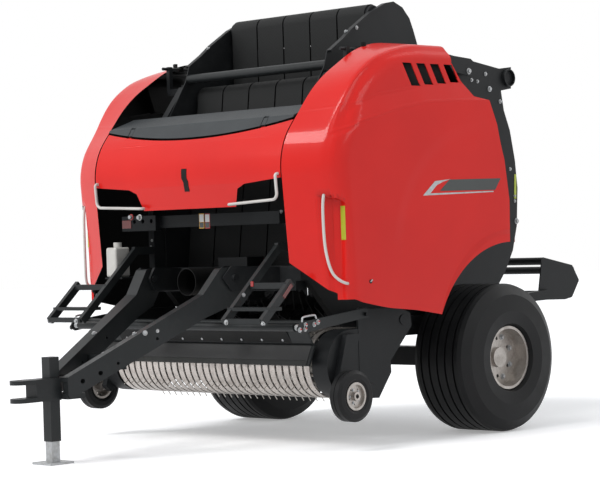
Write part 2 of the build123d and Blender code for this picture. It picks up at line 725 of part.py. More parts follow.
def rear_lamps():
    lamp = block(480, 600, 775.3, 830, 1185, 1275)
    return both_sides(lamp)


def cylinder_pose():
    way = (rod_eye_y - barrel_base_y, rod_eye_z - barrel_base_z)
    length = hypot(*way)
    return way[0] / length, way[1] / length, length


def cylinder_barrel():
    dy, dz, length = cylinder_pose()
    eye = bar_x(cylinder_x - 22, cylinder_x + 22, barrel_base_y, barrel_base_z, 30)
    eye -= bar_x(cylinder_x - 40, cylinder_x + 40, barrel_base_y, barrel_base_z, 14.4)
    start = (cylinder_x, barrel_base_y + dy * 26, barrel_base_z + dz * 26)
    end = (cylinder_x, barrel_base_y + dy * barrel_length, barrel_base_z + dz * barrel_length)
    barrel = rod_between(start, end, barrel_radius)
    bore_start = (cylinder_x, barrel_base_y + dy * 60, barrel_base_z + dz * 60)
    bore_end = (cylinder_x, end[1] + dy * 5, end[2] + dz * 5)
    return eye + barrel - rod_between(bore_start, bore_end, rod_radius + 0.4)


def cylinder_rod():
    dy, dz, length = cylinder_pose()
    # The eye with its pin, which reaches to the pad on the tailgate.
    eye = bar_x(cylinder_x - 20, cylinder_x + 20, rod_eye_y, rod_eye_z, 28)
    pad_face = wall_inner + wall + rod_pad
    eye += bar_x(pad_face + 0.3, cylinder_x + barrel_radius + 4, rod_eye_y, rod_eye_z, rod_pin_radius)
    start = (cylinder_x, rod_eye_y - dy * 25, rod_eye_z - dz * 25)
    end = (cylinder_x, barrel_base_y + dy * 80, barrel_base_z + dz * 80)
    return eye + rod_between(start, end, rod_radius)


# Bale ramp

def bale_ramp():
    plate = side_plate(ramp_half - 8, ramp_half, [
        (1117, 780), (1176, 1074), (1514, 1009), (1590, 901), (1503, 785), (1422, 772)], 15)
    rail = side_plate(ramp_half - 8, ramp_half + 32, [
        (ramp_hinge_y - 30, ramp_hinge_z - 30), (ramp_hinge_y - 30, ramp_hinge_z + 30), (1000, 835), (1200, 850),
        (1200, 780), (1000, 775)])
    one = plate + rail
    one += bar_x(ramp_half, wall_inner + wall + 40, ramp_hinge_y, ramp_hinge_z, 16)
    ramp = both_sides(one)
    for y, z, radius in ((1190, 1045, 26), (1510, 975, 26), (1480, 810, 22), (1150, 812, 22)):
        ramp += bar_x(-ramp_half, ramp_half, y, z, radius)
    return ramp


def build():
    nodes = {
        "main_frame": main_frame(),
        "side_walls": side_walls(),
        "axle_beam": axle_beam(),
        "drawbar": drawbar(),
        "hitch_clevis": hitch_clevis(),
        "jack_tube": jack_outer(),
        "jack_leg": jack_inner(),
        "gearbox": gearbox(),
        "pto_shield": pto_shield(),
        "pto_stub": pto_stub(),
        "front_beam": front_beam(),
        "oil_tank": oil_tank(),
        "steps": steps(),
        "top_cover": top_cover(),
        "roller_bar": roller_bar(),
        "belts_front": belts(front_rollers),
        "rollers_front": rollers(front_rollers),
        "hood": hood(),
        "hood_handles": hood_handles(),
        "panel_left": side_panel(),
        "panel_right": mirrored(side_panel()),
        "grab_bar_left": grab_bar(),
        "grab_bar_right": mirrored(grab_bar()),
        "pickup_frame": pickup_frame(),
        "stripper_bands": stripper_bands(),
        "reel": reel(),
        "feed_rotor": feed_rotor(),
        "wind_guard": wind_guard(),
        "guard_roller": guard_roller(),
        "tailgate_sides": tailgate_sides(),
        "tailgate_beams": tailgate_beams(),
        "belts_rear": belts(rear_rollers),
        "rollers_rear": rollers(rear_rollers),
        "rear_lamps": rear_lamps(),
        "bale_ramp": bale_ramp(),
    }
    barrel = cylinder_barrel()
    rod = cylinder_rod()
    for side, sign in (("left", 1), ("right", -1)):
        wheel_place = Pos(sign * wheel_track_half, 0, wheel_radius)
        gauge_place = Pos(sign * gauge_x, gauge_y, gauge_z)
        flip = Rot(0, 0, 0) if sign > 0 else Rot(0, 0, 180)
        nodes["tyre_" + side] = wheel_place * flip * main_tyre()
        nodes["rim_" + side] = wheel_place * flip * main_rim()
        nodes["gauge_tyre_" + side] = gauge_place * flip * gauge_tyre()
        nodes["gauge_rim_" + side] = gauge_place * flip * gauge_rim()
        nodes["cylinder_barrel_" + side] = barrel if sign > 0 else mirrored(barrel)
        nodes["cylinder_rod_" + side] = rod if sign > 0 else mirrored(rod)
    return nodes


os.makedirs("parts", exist_ok=True)
for name, shape in build().items():
    export_step(shape, "parts/" + name + ".step")
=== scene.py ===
import json
import math
import bmesh
import bpy
from mathutils import Matrix, Vector
from mathutils.bvhtree import BVHTree

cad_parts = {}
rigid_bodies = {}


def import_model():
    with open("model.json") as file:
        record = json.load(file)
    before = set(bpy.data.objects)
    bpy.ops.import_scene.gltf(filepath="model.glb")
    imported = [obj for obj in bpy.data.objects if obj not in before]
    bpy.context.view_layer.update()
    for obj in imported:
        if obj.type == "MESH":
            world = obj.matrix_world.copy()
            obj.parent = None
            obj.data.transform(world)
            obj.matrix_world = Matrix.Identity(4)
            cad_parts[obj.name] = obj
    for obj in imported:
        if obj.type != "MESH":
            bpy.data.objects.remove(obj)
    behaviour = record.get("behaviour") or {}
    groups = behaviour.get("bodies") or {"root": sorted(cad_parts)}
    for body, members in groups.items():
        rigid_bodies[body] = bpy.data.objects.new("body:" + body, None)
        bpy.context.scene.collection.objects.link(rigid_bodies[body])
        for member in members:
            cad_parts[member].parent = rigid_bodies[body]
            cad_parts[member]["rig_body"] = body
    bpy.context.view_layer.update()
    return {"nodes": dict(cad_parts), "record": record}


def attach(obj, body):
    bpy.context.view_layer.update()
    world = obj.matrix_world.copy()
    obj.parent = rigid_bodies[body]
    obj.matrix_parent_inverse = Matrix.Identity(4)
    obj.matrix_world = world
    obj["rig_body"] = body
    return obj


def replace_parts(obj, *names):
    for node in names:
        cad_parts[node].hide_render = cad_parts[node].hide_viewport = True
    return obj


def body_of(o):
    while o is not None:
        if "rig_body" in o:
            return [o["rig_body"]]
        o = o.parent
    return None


# Round baler: the camera, the studio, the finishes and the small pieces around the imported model.
# Metres, in the model's own frame: the drawbar points to -Y, the machine's left is +X.

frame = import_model()
print("stage: frame loaded")

photoCamera = {
    "place": (9.48, -10.35, 1.25),
    "yaw": 44.3,      # degrees, turned left of +Y
    "pitch": -0.10,
    "roll": -1.74,
    "lens": 126.0,
    "sensor": 36.0,
    "pixels": (600, 485),
}


def makeCamera(spec):
    yaw, pitch, roll = (math.radians(spec[key]) for key in ("yaw", "pitch", "roll"))
    ahead = Vector((-math.sin(yaw) * math.cos(pitch), math.cos(yaw) * math.cos(pitch), math.sin(pitch)))
    right = Vector((math.cos(yaw), math.sin(yaw), 0))
    up = right.cross(ahead)
    sideways = right * math.cos(roll) + up * math.sin(roll)
    upwards = up * math.cos(roll) - right * math.sin(roll)
    data = bpy.data.cameras.new("photo_camera")
    data.lens = spec["lens"]
    data.sensor_width = spec["sensor"]
    data.clip_end = 200
    data.dof.use_dof = False
    camera = bpy.data.objects.new("photo_camera", data)
    turned = Matrix((sideways, upwards, -ahead)).transposed()
    camera.matrix_world = Matrix.Translation(Vector(spec["place"])) @ turned.to_4x4()
    bpy.context.scene.collection.objects.link(camera)
    bpy.context.scene.camera = camera


makeCamera(photoCamera)

studio = {
    "skyStrength": 0.50,
    "skyColour": (0.93, 0.96, 1.0, 1),
    "sunEnergy": 1.7,
    "sunAngle": 24.0,              # degrees across, so the shadow's edge is soft
    "sunTurn": (40.0, 0.0, -8.0),  # degrees
    "panels": [                    # place, aim, width, height, energy
        ((-4.0, -9.0, 6.5), (0, -0.5, 1.4), 5.0, 3.0, 190),
        ((9.0, 0.5, 6.0), (0, -0.5, 1.4), 4.0, 3.0, 90),
        ((2.0, 8.0, 6.0), (0, 0, 1.8), 5.0, 2.0, 120),
    ],
    "floorHalf": 40.0,
    "floorColour": (0.90, 0.90, 0.91, 1),
    "floorGlow": 0.30,             # only in what the camera and mirrors see
}


def seenRays(tree):
    # 1 for rays from the camera, off a mirror or through glass, 0 for those that only bring light
    rays = tree.nodes.new("ShaderNodeLightPath")
    total = rays.outputs["Is Camera Ray"]
    for name in ("Is Glossy Ray", "Is Transmission Ray"):
        both = tree.nodes.new("ShaderNodeMath")
        both.operation = "MAXIMUM"
        tree.links.new(total, both.inputs[0])
        tree.links.new(rays.outputs[name], both.inputs[1])
        total = both.outputs[0]
    return total


def makeStudio(spec):
    world = bpy.data.worlds.new("studio_sky")
    bpy.context.scene.world = world
    world.use_nodes = True
    tree = world.node_tree
    sky = tree.nodes["Background"]
    sky.inputs["Color"].default_value = spec["skyColour"]
    sky.inputs["Strength"].default_value = spec["skyStrength"]
    white = tree.nodes.new("ShaderNodeBackground")
    white.inputs["Color"].default_value = (1, 1, 1, 1)
    white.inputs["Strength"].default_value = 1.0
    mix = tree.nodes.new("ShaderNodeMixShader")
    tree.links.new(seenRays(tree), mix.inputs["Fac"])
    tree.links.new(sky.outputs[0], mix.inputs[1])
    tree.links.new(white.outputs[0], mix.inputs[2])
    tree.links.new(mix.outputs[0], tree.nodes["World Output"].inputs["Surface"])
    sun = bpy.data.lights.new("sun", "SUN")
    sun.energy = spec["sunEnergy"]
    sun.angle = math.radians(spec["sunAngle"])
    lamp = bpy.data.objects.new("sun", sun)
    lamp.rotation_euler = [math.radians(turn) for turn in spec["sunTurn"]]
    bpy.context.scene.collection.objects.link(lamp)
    for index, (place, aim, width, height, energy) in enumerate(spec["panels"]):
        light = bpy.data.lights.new("softbox_%d" % index, "AREA")
        light.shape = "RECTANGLE"
        light.size = width
        light.size_y = height
        light.energy = energy
        holder = bpy.data.objects.new("softbox_%d" % index, light)
        holder.location = place
        holder.rotation_euler = (Vector(aim) - Vector(place)).to_track_quat("-Z", "Y").to_euler()
        bpy.context.scene.collection.objects.link(holder)
    bpy.context.scene.view_settings.view_transform = "Standard"


makeStudio(studio)
print("stage: camera and studio")


class Signal:
    # A shader socket: sums on it add Math nodes
    def __init__(self, paint, socket):
        self.paint = paint
        self.socket = socket

    def joined(self, operation, first, second):
        return self.paint.math(operation, first, second)

    def __add__(self, other):
        return self.joined("ADD", self, other)

    def __radd__(self, other):
        return self.joined("ADD", other, self)

    def __sub__(self, other):
        return self.joined("SUBTRACT", self, other)

    def __rsub__(self, other):
        return self.joined("SUBTRACT", other, self)

    def __mul__(self, other):
        return self.joined("MULTIPLY", self, other)

    def __rmul__(self, other):
        return self.joined("MULTIPLY", other, self)


class Paint:
    # One material: its node tree, its Principled shader and the object's own coordinates
    def __init__(self, name):
        self.material = bpy.data.materials.new(name)
        self.material.use_nodes = True
        self.tree = self.material.node_tree
        self.shader = self.tree.nodes["Principled BSDF"]
        self.place = self.node("ShaderNodeTexCoord", {}, {}, "Object")
        self.facing = self.node("ShaderNodeTexCoord", {}, {}, "Normal")

    def node(self, kind, settings, inputs, output=0):
        made = self.tree.nodes.new(kind)
        for key, value in settings.items():
            if key == "stops":
                ramp = made.color_ramp
                while len(ramp.elements) < len(value):
                    ramp.elements.new(0.5)
                for stop, (position, level) in zip(ramp.elements, value):
                    stop.position = position
                    stop.color = (level, level, level, 1)
            elif key == "between":
                made.color_ramp.interpolation = value
            else:
                setattr(made, key, value)
        entries = inputs.items() if isinstance(inputs, dict) else enumerate(inputs)
        for key, value in entries:
            self.feed(made.inputs[key], value)
        return Signal(self, made.outputs[output])

    def feed(self, socket, value):
        if isinstance(value, Signal):
            self.tree.links.new(value.socket, socket)
        elif socket.type == "RGBA":
            socket.default_value = (*value[:3], 1)
        else:
            socket.default_value = value

    def math(self, operation, *values):
        return self.node("ShaderNodeMath", {"operation": operation}, values)

    def noise(self, scale, detail=4.0, rough=0.55, stretch=(1, 1, 1)):
        place = self.node("ShaderNodeMapping", {}, {"Vector": self.place, "Scale": stretch})
        return self.node("ShaderNodeTexNoise", {}, {"Vector": place, "Scale": scale, "Detail": detail,
                                                    "Roughness": rough})

    def cells(self, scale, feature="F1"):
        return self.node("ShaderNodeTexVoronoi", {"feature": feature}, {"Vector": self.place, "Scale": scale})

    def axis(self, letter):
        return self.node("ShaderNodeSeparateXYZ", {}, {"Vector": self.place}, letter)

    def towards(self, way):
        # How far the surface faces a way of the object's own axes
        return self.node("ShaderNodeVectorMath", {"operation": "DOT_PRODUCT"}, (self.facing, way), "Value")

    def curve(self, value, low, high, points, reach):
        # Smooth line through points, read from a value between low and high
        share = self.node("ShaderNodeMapRange", {}, {"Value": value, "From Min": low, "From Max": high})
        stops = [((at - low) / (high - low), level / reach) for at, level in points]
        return self.node("ShaderNodeValToRGB", {"stops": stops, "between": "CARDINAL"}, (share,)) * reach

    def line(self, gap, half):
        # 1 on the line where a signed gap is nought, 0 past half a width from it
        return self.span(self.math("ABSOLUTE", gap), 0.0, half, 1.0, 0.0)

    def ring(self, first, second, letters="YZ"):
        # Distance from the line through a point of two axes
        across, up = (self.axis(letter) - middle for letter, middle in zip(letters, (first, second)))
        return self.math("SQRT", across * across + up * up)

    def span(self, value, low, high, toLow=0.0, toHigh=1.0):
        return self.node("ShaderNodeMapRange", {"interpolation_type": "SMOOTHSTEP"},
                         {"Value": value, "From Min": low, "From Max": high, "To Min": toLow, "To Max": toHigh})

    def mixed(self, share, first, second):
        made = self.tree.nodes.new("ShaderNodeMix")
        made.data_type = "RGBA"
        self.feed(made.inputs[0], share)
        self.feed(made.inputs[6], first)
        self.feed(made.inputs[7], second)
        return Signal(self, made.outputs[2])

    def bump(self, height, distance, strength=1.0):
        return self.node("ShaderNodeBump", {}, {"Height": height, "Strength": strength, "Distance": distance})

    def set(self, **values):
        for key, value in values.items():
            self.feed(self.shader.inputs[key.replace("_", " ")], value)
        return self.material


def glossyPaint(name, spec, dull):
    # Colour that shifts a little, with dull patches
    paint = Paint(name)
    cloud = paint.span(paint.noise(1.6, 3), 0.3, 0.7)
    scuffs = paint.span(paint.noise(34, 8, 0.7, (1, 1, 0.25)), 0.58, 0.74)
    colour = paint.mixed(cloud, spec["colour"], spec["shade"])
    return paint, cloud, scuffs, paint.mixed(scuffs * dull, colour, spec["dust"])


def glossyPlastic(name, spec):
    # Smooth plastic with a faint orange peel
    paint, cloud, scuffs, colour = glossyPaint(name, spec, 0.10)
    peel = paint.noise(420, 2, 0.4)
    return paint.set(Base_Color=colour, Roughness=spec["rough"] + scuffs * 0.10 + cloud * 0.04,
                     Coat_Weight=spec["coat"], Coat_Roughness=0.08, Specular_IOR_Level=spec["sheen"],
                     Normal=paint.bump(peel, 0.00025, 0.35))


def mouldedCover(name, spec):
    # Big red cover: near-black on its hinge parts and, as painted shade, on its inward faces, with the pressed lines of
    # its face
    paint, cloud, scuffs, colour = glossyPaint(name, spec, 0.08)
    # Painted shade: faces turned away from outward get the near-black colour and lose their coat
    inwardShadeAndHinges = paint.span(paint.towards(spec["outward"]), spec["turn"] - 0.05, spec["turn"] + 0.05, 1.0, 0.0)
    if spec["edge"]:
        # The hood's leaves stand above its curved edge
        centre, radius = spec["edge"]
        leaves = paint.span(paint.ring(0.0, centre, "XZ"), radius - 0.006, radius - 0.002, 1.0, 0.0)
        inwardShadeAndHinges = paint.math("MAXIMUM", inwardShadeAndHinges, leaves)
    if spec["lines"]:
        near = paint.math("ABSOLUTE", paint.axis("X"))
        lugs = paint.span(near, *spec["lugs"], 1.0, 0.0)
        foot = paint.math("ABSOLUTE", paint.axis("Y") - spec["postAt"])
        post = paint.span(near, *spec["postSide"], 1.0, 0.0) * paint.span(foot, *spec["postHalf"], 1.0, 0.0)
        post = post * paint.span(paint.axis("Z"), *spec["postFoot"])
        inwardShadeAndHinges = paint.math("MAXIMUM", paint.math("MAXIMUM", inwardShadeAndHinges, lugs), post)
    # Painted shade on the inward faces, with the near-black hinge parts and leaves
    colour = paint.mixed(inwardShadeAndHinges, colour, spec["black"])
    relief = paint.noise(420, 2, 0.4) * 0.00008
    if spec["lines"]:
        along, up = paint.axis("Y"), paint.axis("Z")
        sill, brow = (up - paint.curve(along, *spec["run"], spec[line], spec["top"]) for line in ("sill", "brow"))
        arc = paint.ring(*spec["arc"][:2]) - spec["arc"][2]
        flare = paint.ring(*spec["flare"][:2])
        ahead = paint.span(along, -1.60, -1.38)
        side = paint.span(paint.towards(spec["side"]), 0.55, 0.85)
        relief = relief + (paint.line(sill, 0.014) * 0.0030 + paint.line(brow, 0.012) * 0.0015) * ahead
        relief = relief + paint.span(arc, -0.07, 0.03) * 0.007 * paint.span(up, 1.05, 1.35) * side
        relief = relief + paint.span(flare, spec["flare"][2], spec["flare"][2] + 0.05, 0.014, 0.0) * side
    return paint.set(Base_Color=colour, Roughness=spec["rough"] + scuffs * 0.10 + cloud * 0.04,
                     Coat_Weight=spec["coat"] * (1 - inwardShadeAndHinges), Coat_Roughness=0.12,
                     Specular_IOR_Level=spec["sheen"], Normal=paint.bump(relief, 1.0))


def paintedSteel(name, spec):
    # Paint over steel: slight runs, grit in the paint, chips down to primer
    paint = Paint(name)
    cloud = paint.span(paint.noise(3.5, 4), 0.3, 0.7)
    chips = paint.span(paint.noise(140, 9, 0.75), 0.70, 0.73)
    dust = paint.span(paint.noise(16, 7, 0.65), 0.48, 0.78)
    colour = paint.mixed(cloud, spec["colour"], spec["shade"])
    colour = paint.mixed(dust * spec["dusty"], colour, spec["dust"])
    colour = paint.mixed(chips * spec["worn"], colour, spec["chip"])
    grit = paint.noise(600, 3, 0.5)
    return paint.set(Base_Color=colour, Roughness=spec["rough"] + dust * 0.18 + cloud * 0.05,
                     Metallic=chips * 0.6 * spec["worn"], Specular_IOR_Level=spec["sheen"],
                     Normal=paint.bump(grit - chips * 0.5, 0.0003, 0.4))


def bareMetal(name, spec):
    # Steel or zinc: spangle or grind marks and dull stains
    paint = Paint(name)
    spangle = paint.span(paint.cells(spec["grain"], "F1"), 0.0, 0.7)
    stain = paint.span(paint.noise(22, 6, 0.6), 0.42, 0.72)
    colour = paint.mixed(spangle * 0.5, spec["colour"], spec["shade"])
    colour = paint.mixed(stain * 0.35, colour, spec["dust"])
    lines = paint.noise(300, 4, 0.6, spec["stretch"])
    return paint.set(Base_Color=colour, Metallic=spec["metal"], Roughness=spec["rough"] + stain * 0.2 + spangle * 0.05,
                     Normal=paint.bump(lines, 0.00015, 0.4))


def tyreRubber(name, spec):
    # Black rubber, greyer where it has weathered, with a fine grain
    paint = Paint(name)
    worn = paint.span(paint.noise(9, 6, 0.6), 0.4, 0.75)
    fine = paint.noise(380, 5, 0.6)
    colour = paint.mixed(worn * 0.6, spec["colour"], spec["shade"])
    return paint.set(Base_Color=colour, Roughness=spec["rough"] + worn * 0.12, Specular_IOR_Level=spec["sheen"],
                     Normal=paint.bump(fine + worn * 0.4, 0.0004, 0.5))


def beltRubber(name, spec):
    # Belt with a chevron grip cut in its face and rubbed tops
    paint = Paint(name)
    across = paint.axis("X")
    high = paint.axis("Z")
    fold = paint.math("PINGPONG", across, 0.043)
    ridge = paint.math("PINGPONG", high + fold * 0.8, 0.011)
    rib = paint.span(ridge, 0.004, 0.008)
    rubbed = paint.span(paint.noise(7, 6, 0.65), 0.4, 0.75)
    colour = paint.mixed(rubbed * 0.55 + rib * 0.12, spec["colour"], spec["shade"])
    fine = paint.noise(420, 3, 0.5)
    return paint.set(Base_Color=colour, Roughness=spec["rough"] + rubbed * 0.1 - rib * 0.05,
                     Specular_IOR_Level=spec["sheen"],
                     Normal=paint.bump(rib * 0.6 + fine * 0.3, 0.0006, 0.5))


def grainedPlastic(name, spec):
    # Moulded plastic with a leather-like grain
    paint = Paint(name)
    grain = paint.span(paint.cells(380, "SMOOTH_F1"), 0.0, 0.8)
    cloud = paint.span(paint.noise(5, 5, 0.6), 0.35, 0.7)
    rubs = paint.span(paint.noise(60, 8, 0.7, (0.3, 1, 1)), 0.60, 0.74)
    colour = paint.mixed(cloud, spec["colour"], spec["shade"])
    colour = paint.mixed(rubs * 0.25, colour, spec["dust"])
    return paint.set(Base_Color=colour, Roughness=spec["rough"] + grain * 0.08 - rubs * 0.1,
                     Specular_IOR_Level=spec["sheen"],
                     Normal=paint.bump(grain, 0.0005, spec["deep"]))


# Linear colours of the surface, of its other patches and of its dust, then the recipe's own columns
greyDust = (0.16, 0.155, 0.145)
finishTables = [
    (glossyPlastic, ("colour", "shade", "dust", "rough", "coat", "sheen"), {
        "red_plastic": ((0.66, 0.012, 0.008), (0.61, 0.010, 0.007), (0.56, 0.05, 0.04), 0.34, 0.35, 0.10),
        "lamp_plastic": ((0.40, 0.008, 0.007), (0.32, 0.006, 0.006), (0.4, 0.06, 0.05), 0.16, 0.7, 0.4),
        "reflector_dark": ((0.12, 0.006, 0.005), (0.09, 0.005, 0.005), (0.16, 0.03, 0.03), 0.20, 0.6, 0.4),
        "reflector_lime": ((0.42, 0.48, 0.03), (0.34, 0.42, 0.03), (0.5, 0.5, 0.2), 0.25, 0.5, 0.4),
        "amber_plastic": ((0.62, 0.33, 0.02), (0.52, 0.26, 0.02), (0.5, 0.4, 0.2), 0.25, 0.5, 0.4),
        "label_white": ((0.60, 0.60, 0.58), (0.52, 0.52, 0.50), (0.40, 0.38, 0.34), 0.30, 0.3, 0.4),
        "label_dark": ((0.055, 0.062, 0.060), (0.045, 0.050, 0.050), (0.10, 0.10, 0.09), 0.34, 0.2, 0.3),
    }),
    (paintedSteel, ("colour", "shade", "dust", "chip", "dusty", "worn", "rough", "sheen"), {
        "black_paint": ((0.010, 0.011, 0.012), (0.014, 0.015, 0.016), greyDust, (0.16, 0.155, 0.15), 0.04, 0.4,
                        0.40, 0.18),
        # Darker copy of black_paint with less sheen, for the front beam: painted shade
        "beam_black": ((0.005, 0.006, 0.0065), (0.008, 0.009, 0.010), greyDust, (0.14, 0.135, 0.13), 0.03, 0.4,
                       0.38, 0.12),
        "plate_grey": ((0.034, 0.035, 0.033), (0.028, 0.029, 0.028), greyDust, (0.20, 0.195, 0.19), 0.05, 0.4,
                       0.42, 0.20),
        "dark_paint": ((0.012, 0.014, 0.0145), (0.017, 0.019, 0.020), greyDust, (0.22, 0.21, 0.20), 0.05, 0.5,
                       0.36, 0.26),
        "tube_grey": ((0.60, 0.58, 0.55), (0.52, 0.50, 0.47), (0.36, 0.33, 0.29), (0.2, 0.19, 0.18), 0.2, 0.5,
                      0.30, 0.5),
    }),
    (bareMetal, ("colour", "shade", "dust", "metal", "rough", "grain", "stretch"), {
        "silver_paint": ((0.44, 0.41, 0.385), (0.36, 0.335, 0.31), (0.20, 0.18, 0.16), 0.85, 0.30, 70, (0.2, 1, 1)),
        "band_metal": ((0.56, 0.52, 0.485), (0.46, 0.42, 0.39), (0.22, 0.19, 0.17), 0.90, 0.24, 60, (1, 0.1, 0.1)),
        "galvanised": ((0.46, 0.47, 0.48), (0.34, 0.35, 0.36), (0.26, 0.24, 0.20), 0.75, 0.38, 55, (1, 1, 1)),
        "bright_steel": ((0.58, 0.56, 0.53), (0.44, 0.42, 0.39), (0.30, 0.26, 0.22), 0.9, 0.26, 90, (1, 0.05, 1)),
        "chromed_rod": ((0.78, 0.78, 0.79), (0.70, 0.70, 0.72), (0.5, 0.49, 0.47), 1.0, 0.08, 120, (1, 0.3, 0.3)),
    }),
    (grainedPlastic, ("colour", "shade", "dust", "rough", "deep", "sheen"), {
        "grey_plastic": ((0.038, 0.042, 0.045), (0.046, 0.051, 0.054), (0.08, 0.08, 0.08), 0.44, 0.5, 0.22),
        "black_plastic": ((0.005, 0.005, 0.005), (0.008, 0.008, 0.008), (0.03, 0.03, 0.03), 0.42, 0.4, 0.15),
        "sheet_rubber": ((0.046, 0.046, 0.046), (0.054, 0.054, 0.054), (0.10, 0.095, 0.09), 0.50, 0.3, 0.2),
        "tank_plastic": ((0.60, 0.585, 0.55), (0.50, 0.485, 0.45), (0.35, 0.33, 0.28), 0.40, 0.25, 0.4),
    }),
    (tyreRubber, ("colour", "shade", "rough", "sheen"), {
        "tyre_rubber": ((0.006, 0.0062, 0.0068), (0.012, 0.012, 0.012), 0.48, 0.20)}),
    (beltRubber, ("colour", "shade", "rough", "sheen"), {
        "belt_rubber": ((0.013, 0.0135, 0.0135), (0.020, 0.0205, 0.0205), 0.58, 0.16)}),
]
redCover = {
    "colour": (0.66, 0.012, 0.008), "shade": (0.61, 0.010, 0.007), "dust": (0.56, 0.05, 0.04),
    "rough": 0.34, "coat": 0.35, "sheen": 0.10,
    # Near-black of the painted shade on inward faces and of the hinge parts
    "black": (0.006, 0.006, 0.006),
    "turn": -0.12,                       # what faces less outwards than this is painted near-black, as painted shade
    "edge": None,
    "lines": False,
}
panelLines = {
    "lines": True,
    "run": (-1.6, 0.0),                  # the lines' reach along Y, and the height that they stay under
    "top": 3.0,
    "sill": [(-1.556, 1.845), (-1.472, 1.871), (-1.315, 1.923), (-1.082, 1.988), (-0.799, 2.045), (-0.524, 2.067),
             (-0.10, 2.075)],
    "brow": [(-1.438, 2.011), (-1.18, 2.078), (-0.855, 2.137), (-0.456, 2.185), (-0.05, 2.20)],
    "arc": (-0.228, 1.112, 0.821),       # centre Y, Z and radius of the soft bow on the side
    "flare": (0.0, 0.590, 0.640),        # round the wheel
    "lugs": (0.8405, 0.8415),            # hinge lugs lie nearer the middle than this
    "postAt": -0.9,
    "postHalf": (0.0122, 0.0128),
    "postSide": (0.8622, 0.8628),
    "postFoot": (2.36, 2.365),
}
coverLooks = {
    "hood_red": {"outward": (0, -0.94, 0.34), "edge": (6.531, 4.651)},     # the edge's centre in Z, its radius
    "left_red": {**panelLines, "outward": (0.75, -0.6, 0.28), "side": (1, 0, 0)},
    "right_red": {**panelLines, "outward": (-0.75, -0.6, 0.28), "side": (-1, 0, 0)},
}
finish = {}
for recipe, columns, rows in finishTables:
    for name, row in rows.items():
        finish[name] = recipe(name + "_finish", dict(zip(columns, row)))
for name, look in coverLooks.items():
    finish[name] = mouldedCover(name + "_finish", {**redCover, **look})

slotOf = {row["node"]: row["material_slot"] for row in frame["record"]["subparts"]}
ownFinish = {
    # The front beam takes the darker copy of the black paint, which is painted shade
    "hood": "hood_red", "panel_left": "left_red", "panel_right": "right_red", "front_beam": "beam_black",
    "stripper_bands": "band_metal",
}
for name, node in frame["nodes"].items():
    for slot in node.material_slots:
        slot.material = finish[ownFinish.get(name, slotOf[name])]
print("stage: finishes")


sides = (("left", 1), ("right", -1))


def placePiece(name, mesh, body, look):
    # Puts a finished mesh in the scene, on the body that carries it
    bmesh.ops.recalc_face_normals(mesh, faces=mesh.faces)
    data = bpy.data.meshes.new(name)
    mesh.to_mesh(data)
    mesh.free()
    piece = bpy.data.objects.new(name, data)
    data.materials.append(finish[look])
    bpy.context.scene.collection.objects.link(piece)
    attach(piece, body)
    return piece


def turnedTo(way, lean=None):
    # Rotation that brings Z to a way, and X near to a lean
    up = Vector(way).normalized()
    if lean is None:
        return up.to_track_quat("Z", "Y").to_matrix().to_4x4()
    across = Vector(lean)
    across = (across - up * across.dot(up)).normalized()
    return Matrix((across, up.cross(across), up)).transposed().to_4x4()


def addDisc(mesh, centre, way, radius, depth, sides, chamfer=0.0, top=1.0):
    made = bmesh.ops.create_cone(mesh, cap_ends=True, cap_tris=False, segments=sides, radius1=radius,
                                 radius2=radius * top, depth=depth)
    verts = made["verts"]
    if chamfer:
        rims = [edge for edge in {e for v in verts for e in v.link_edges}
                if all(v.co.z > depth * 0.4 for v in edge.verts)]
        verts = list(set(verts) | set(bmesh.ops.bevel(
            mesh, geom=rims, offset=chamfer, offset_type="OFFSET", affect="EDGES", segments=2, profile=0.5,
            material=-1)["verts"]))
        verts = [v for v in verts if v.is_valid]
    bmesh.ops.transform(mesh, matrix=Matrix.Translation(Vector(centre)) @ turnedTo(way), verts=verts)


def addPad(mesh, centre, way, lean, length, width, depth, soft=0.0):
    # Flat pad: its length runs along the lean
    verts = bmesh.ops.create_cube(mesh, size=1.0)["verts"]
    bmesh.ops.scale(mesh, vec=(length, width, depth), verts=verts)
    if soft:
        edges = list({e for v in verts for e in v.link_edges})
        rounded = bmesh.ops.bevel(mesh, geom=edges, offset=soft, offset_type="OFFSET", affect="EDGES", segments=2,
                                  profile=0.5, material=-1)
        verts = list({v for face in rounded["faces"] for v in face.verts} | {v for v in verts if v.is_valid})
    bmesh.ops.transform(mesh, matrix=Matrix.Translation(Vector(centre)) @ turnedTo(way, lean), verts=verts)


def addBolt(mesh, centre, way, size):
    # Washer and hexagon head with broken corners: size is across the corners
    way = Vector(way).normalized()
    centre = Vector(centre)
    addDisc(mesh, centre + way * size * 0.06, way, size * 0.80, size * 0.14, 16)
    addDisc(mesh, centre + way * size * 0.34, way, size * 0.52, size * 0.46, 6, chamfer=size * 0.07)


def cutMesh(mesh, place, way, near=0.0):
    # Cuts a whole mesh along a plane, so that it can bend there
    bmesh.ops.bisect_plane(mesh, geom=mesh.verts[:] + mesh.edges[:] + mesh.faces[:], plane_co=place, plane_no=way,
                           dist=near)


def moveGrown(mesh, grown, way):
    # Moves what an extrusion has made
    bmesh.ops.translate(mesh, verts=[item for item in grown["geom"] if isinstance(item, bmesh.types.BMVert)], vec=way)


def placeOne(add, name, body, slot, look, *shape, **more):
    # A piece made of one disc or one pad
    mesh = bmesh.new()
    add(mesh, *shape, **more)
    return placePiece(name, mesh, body, look)


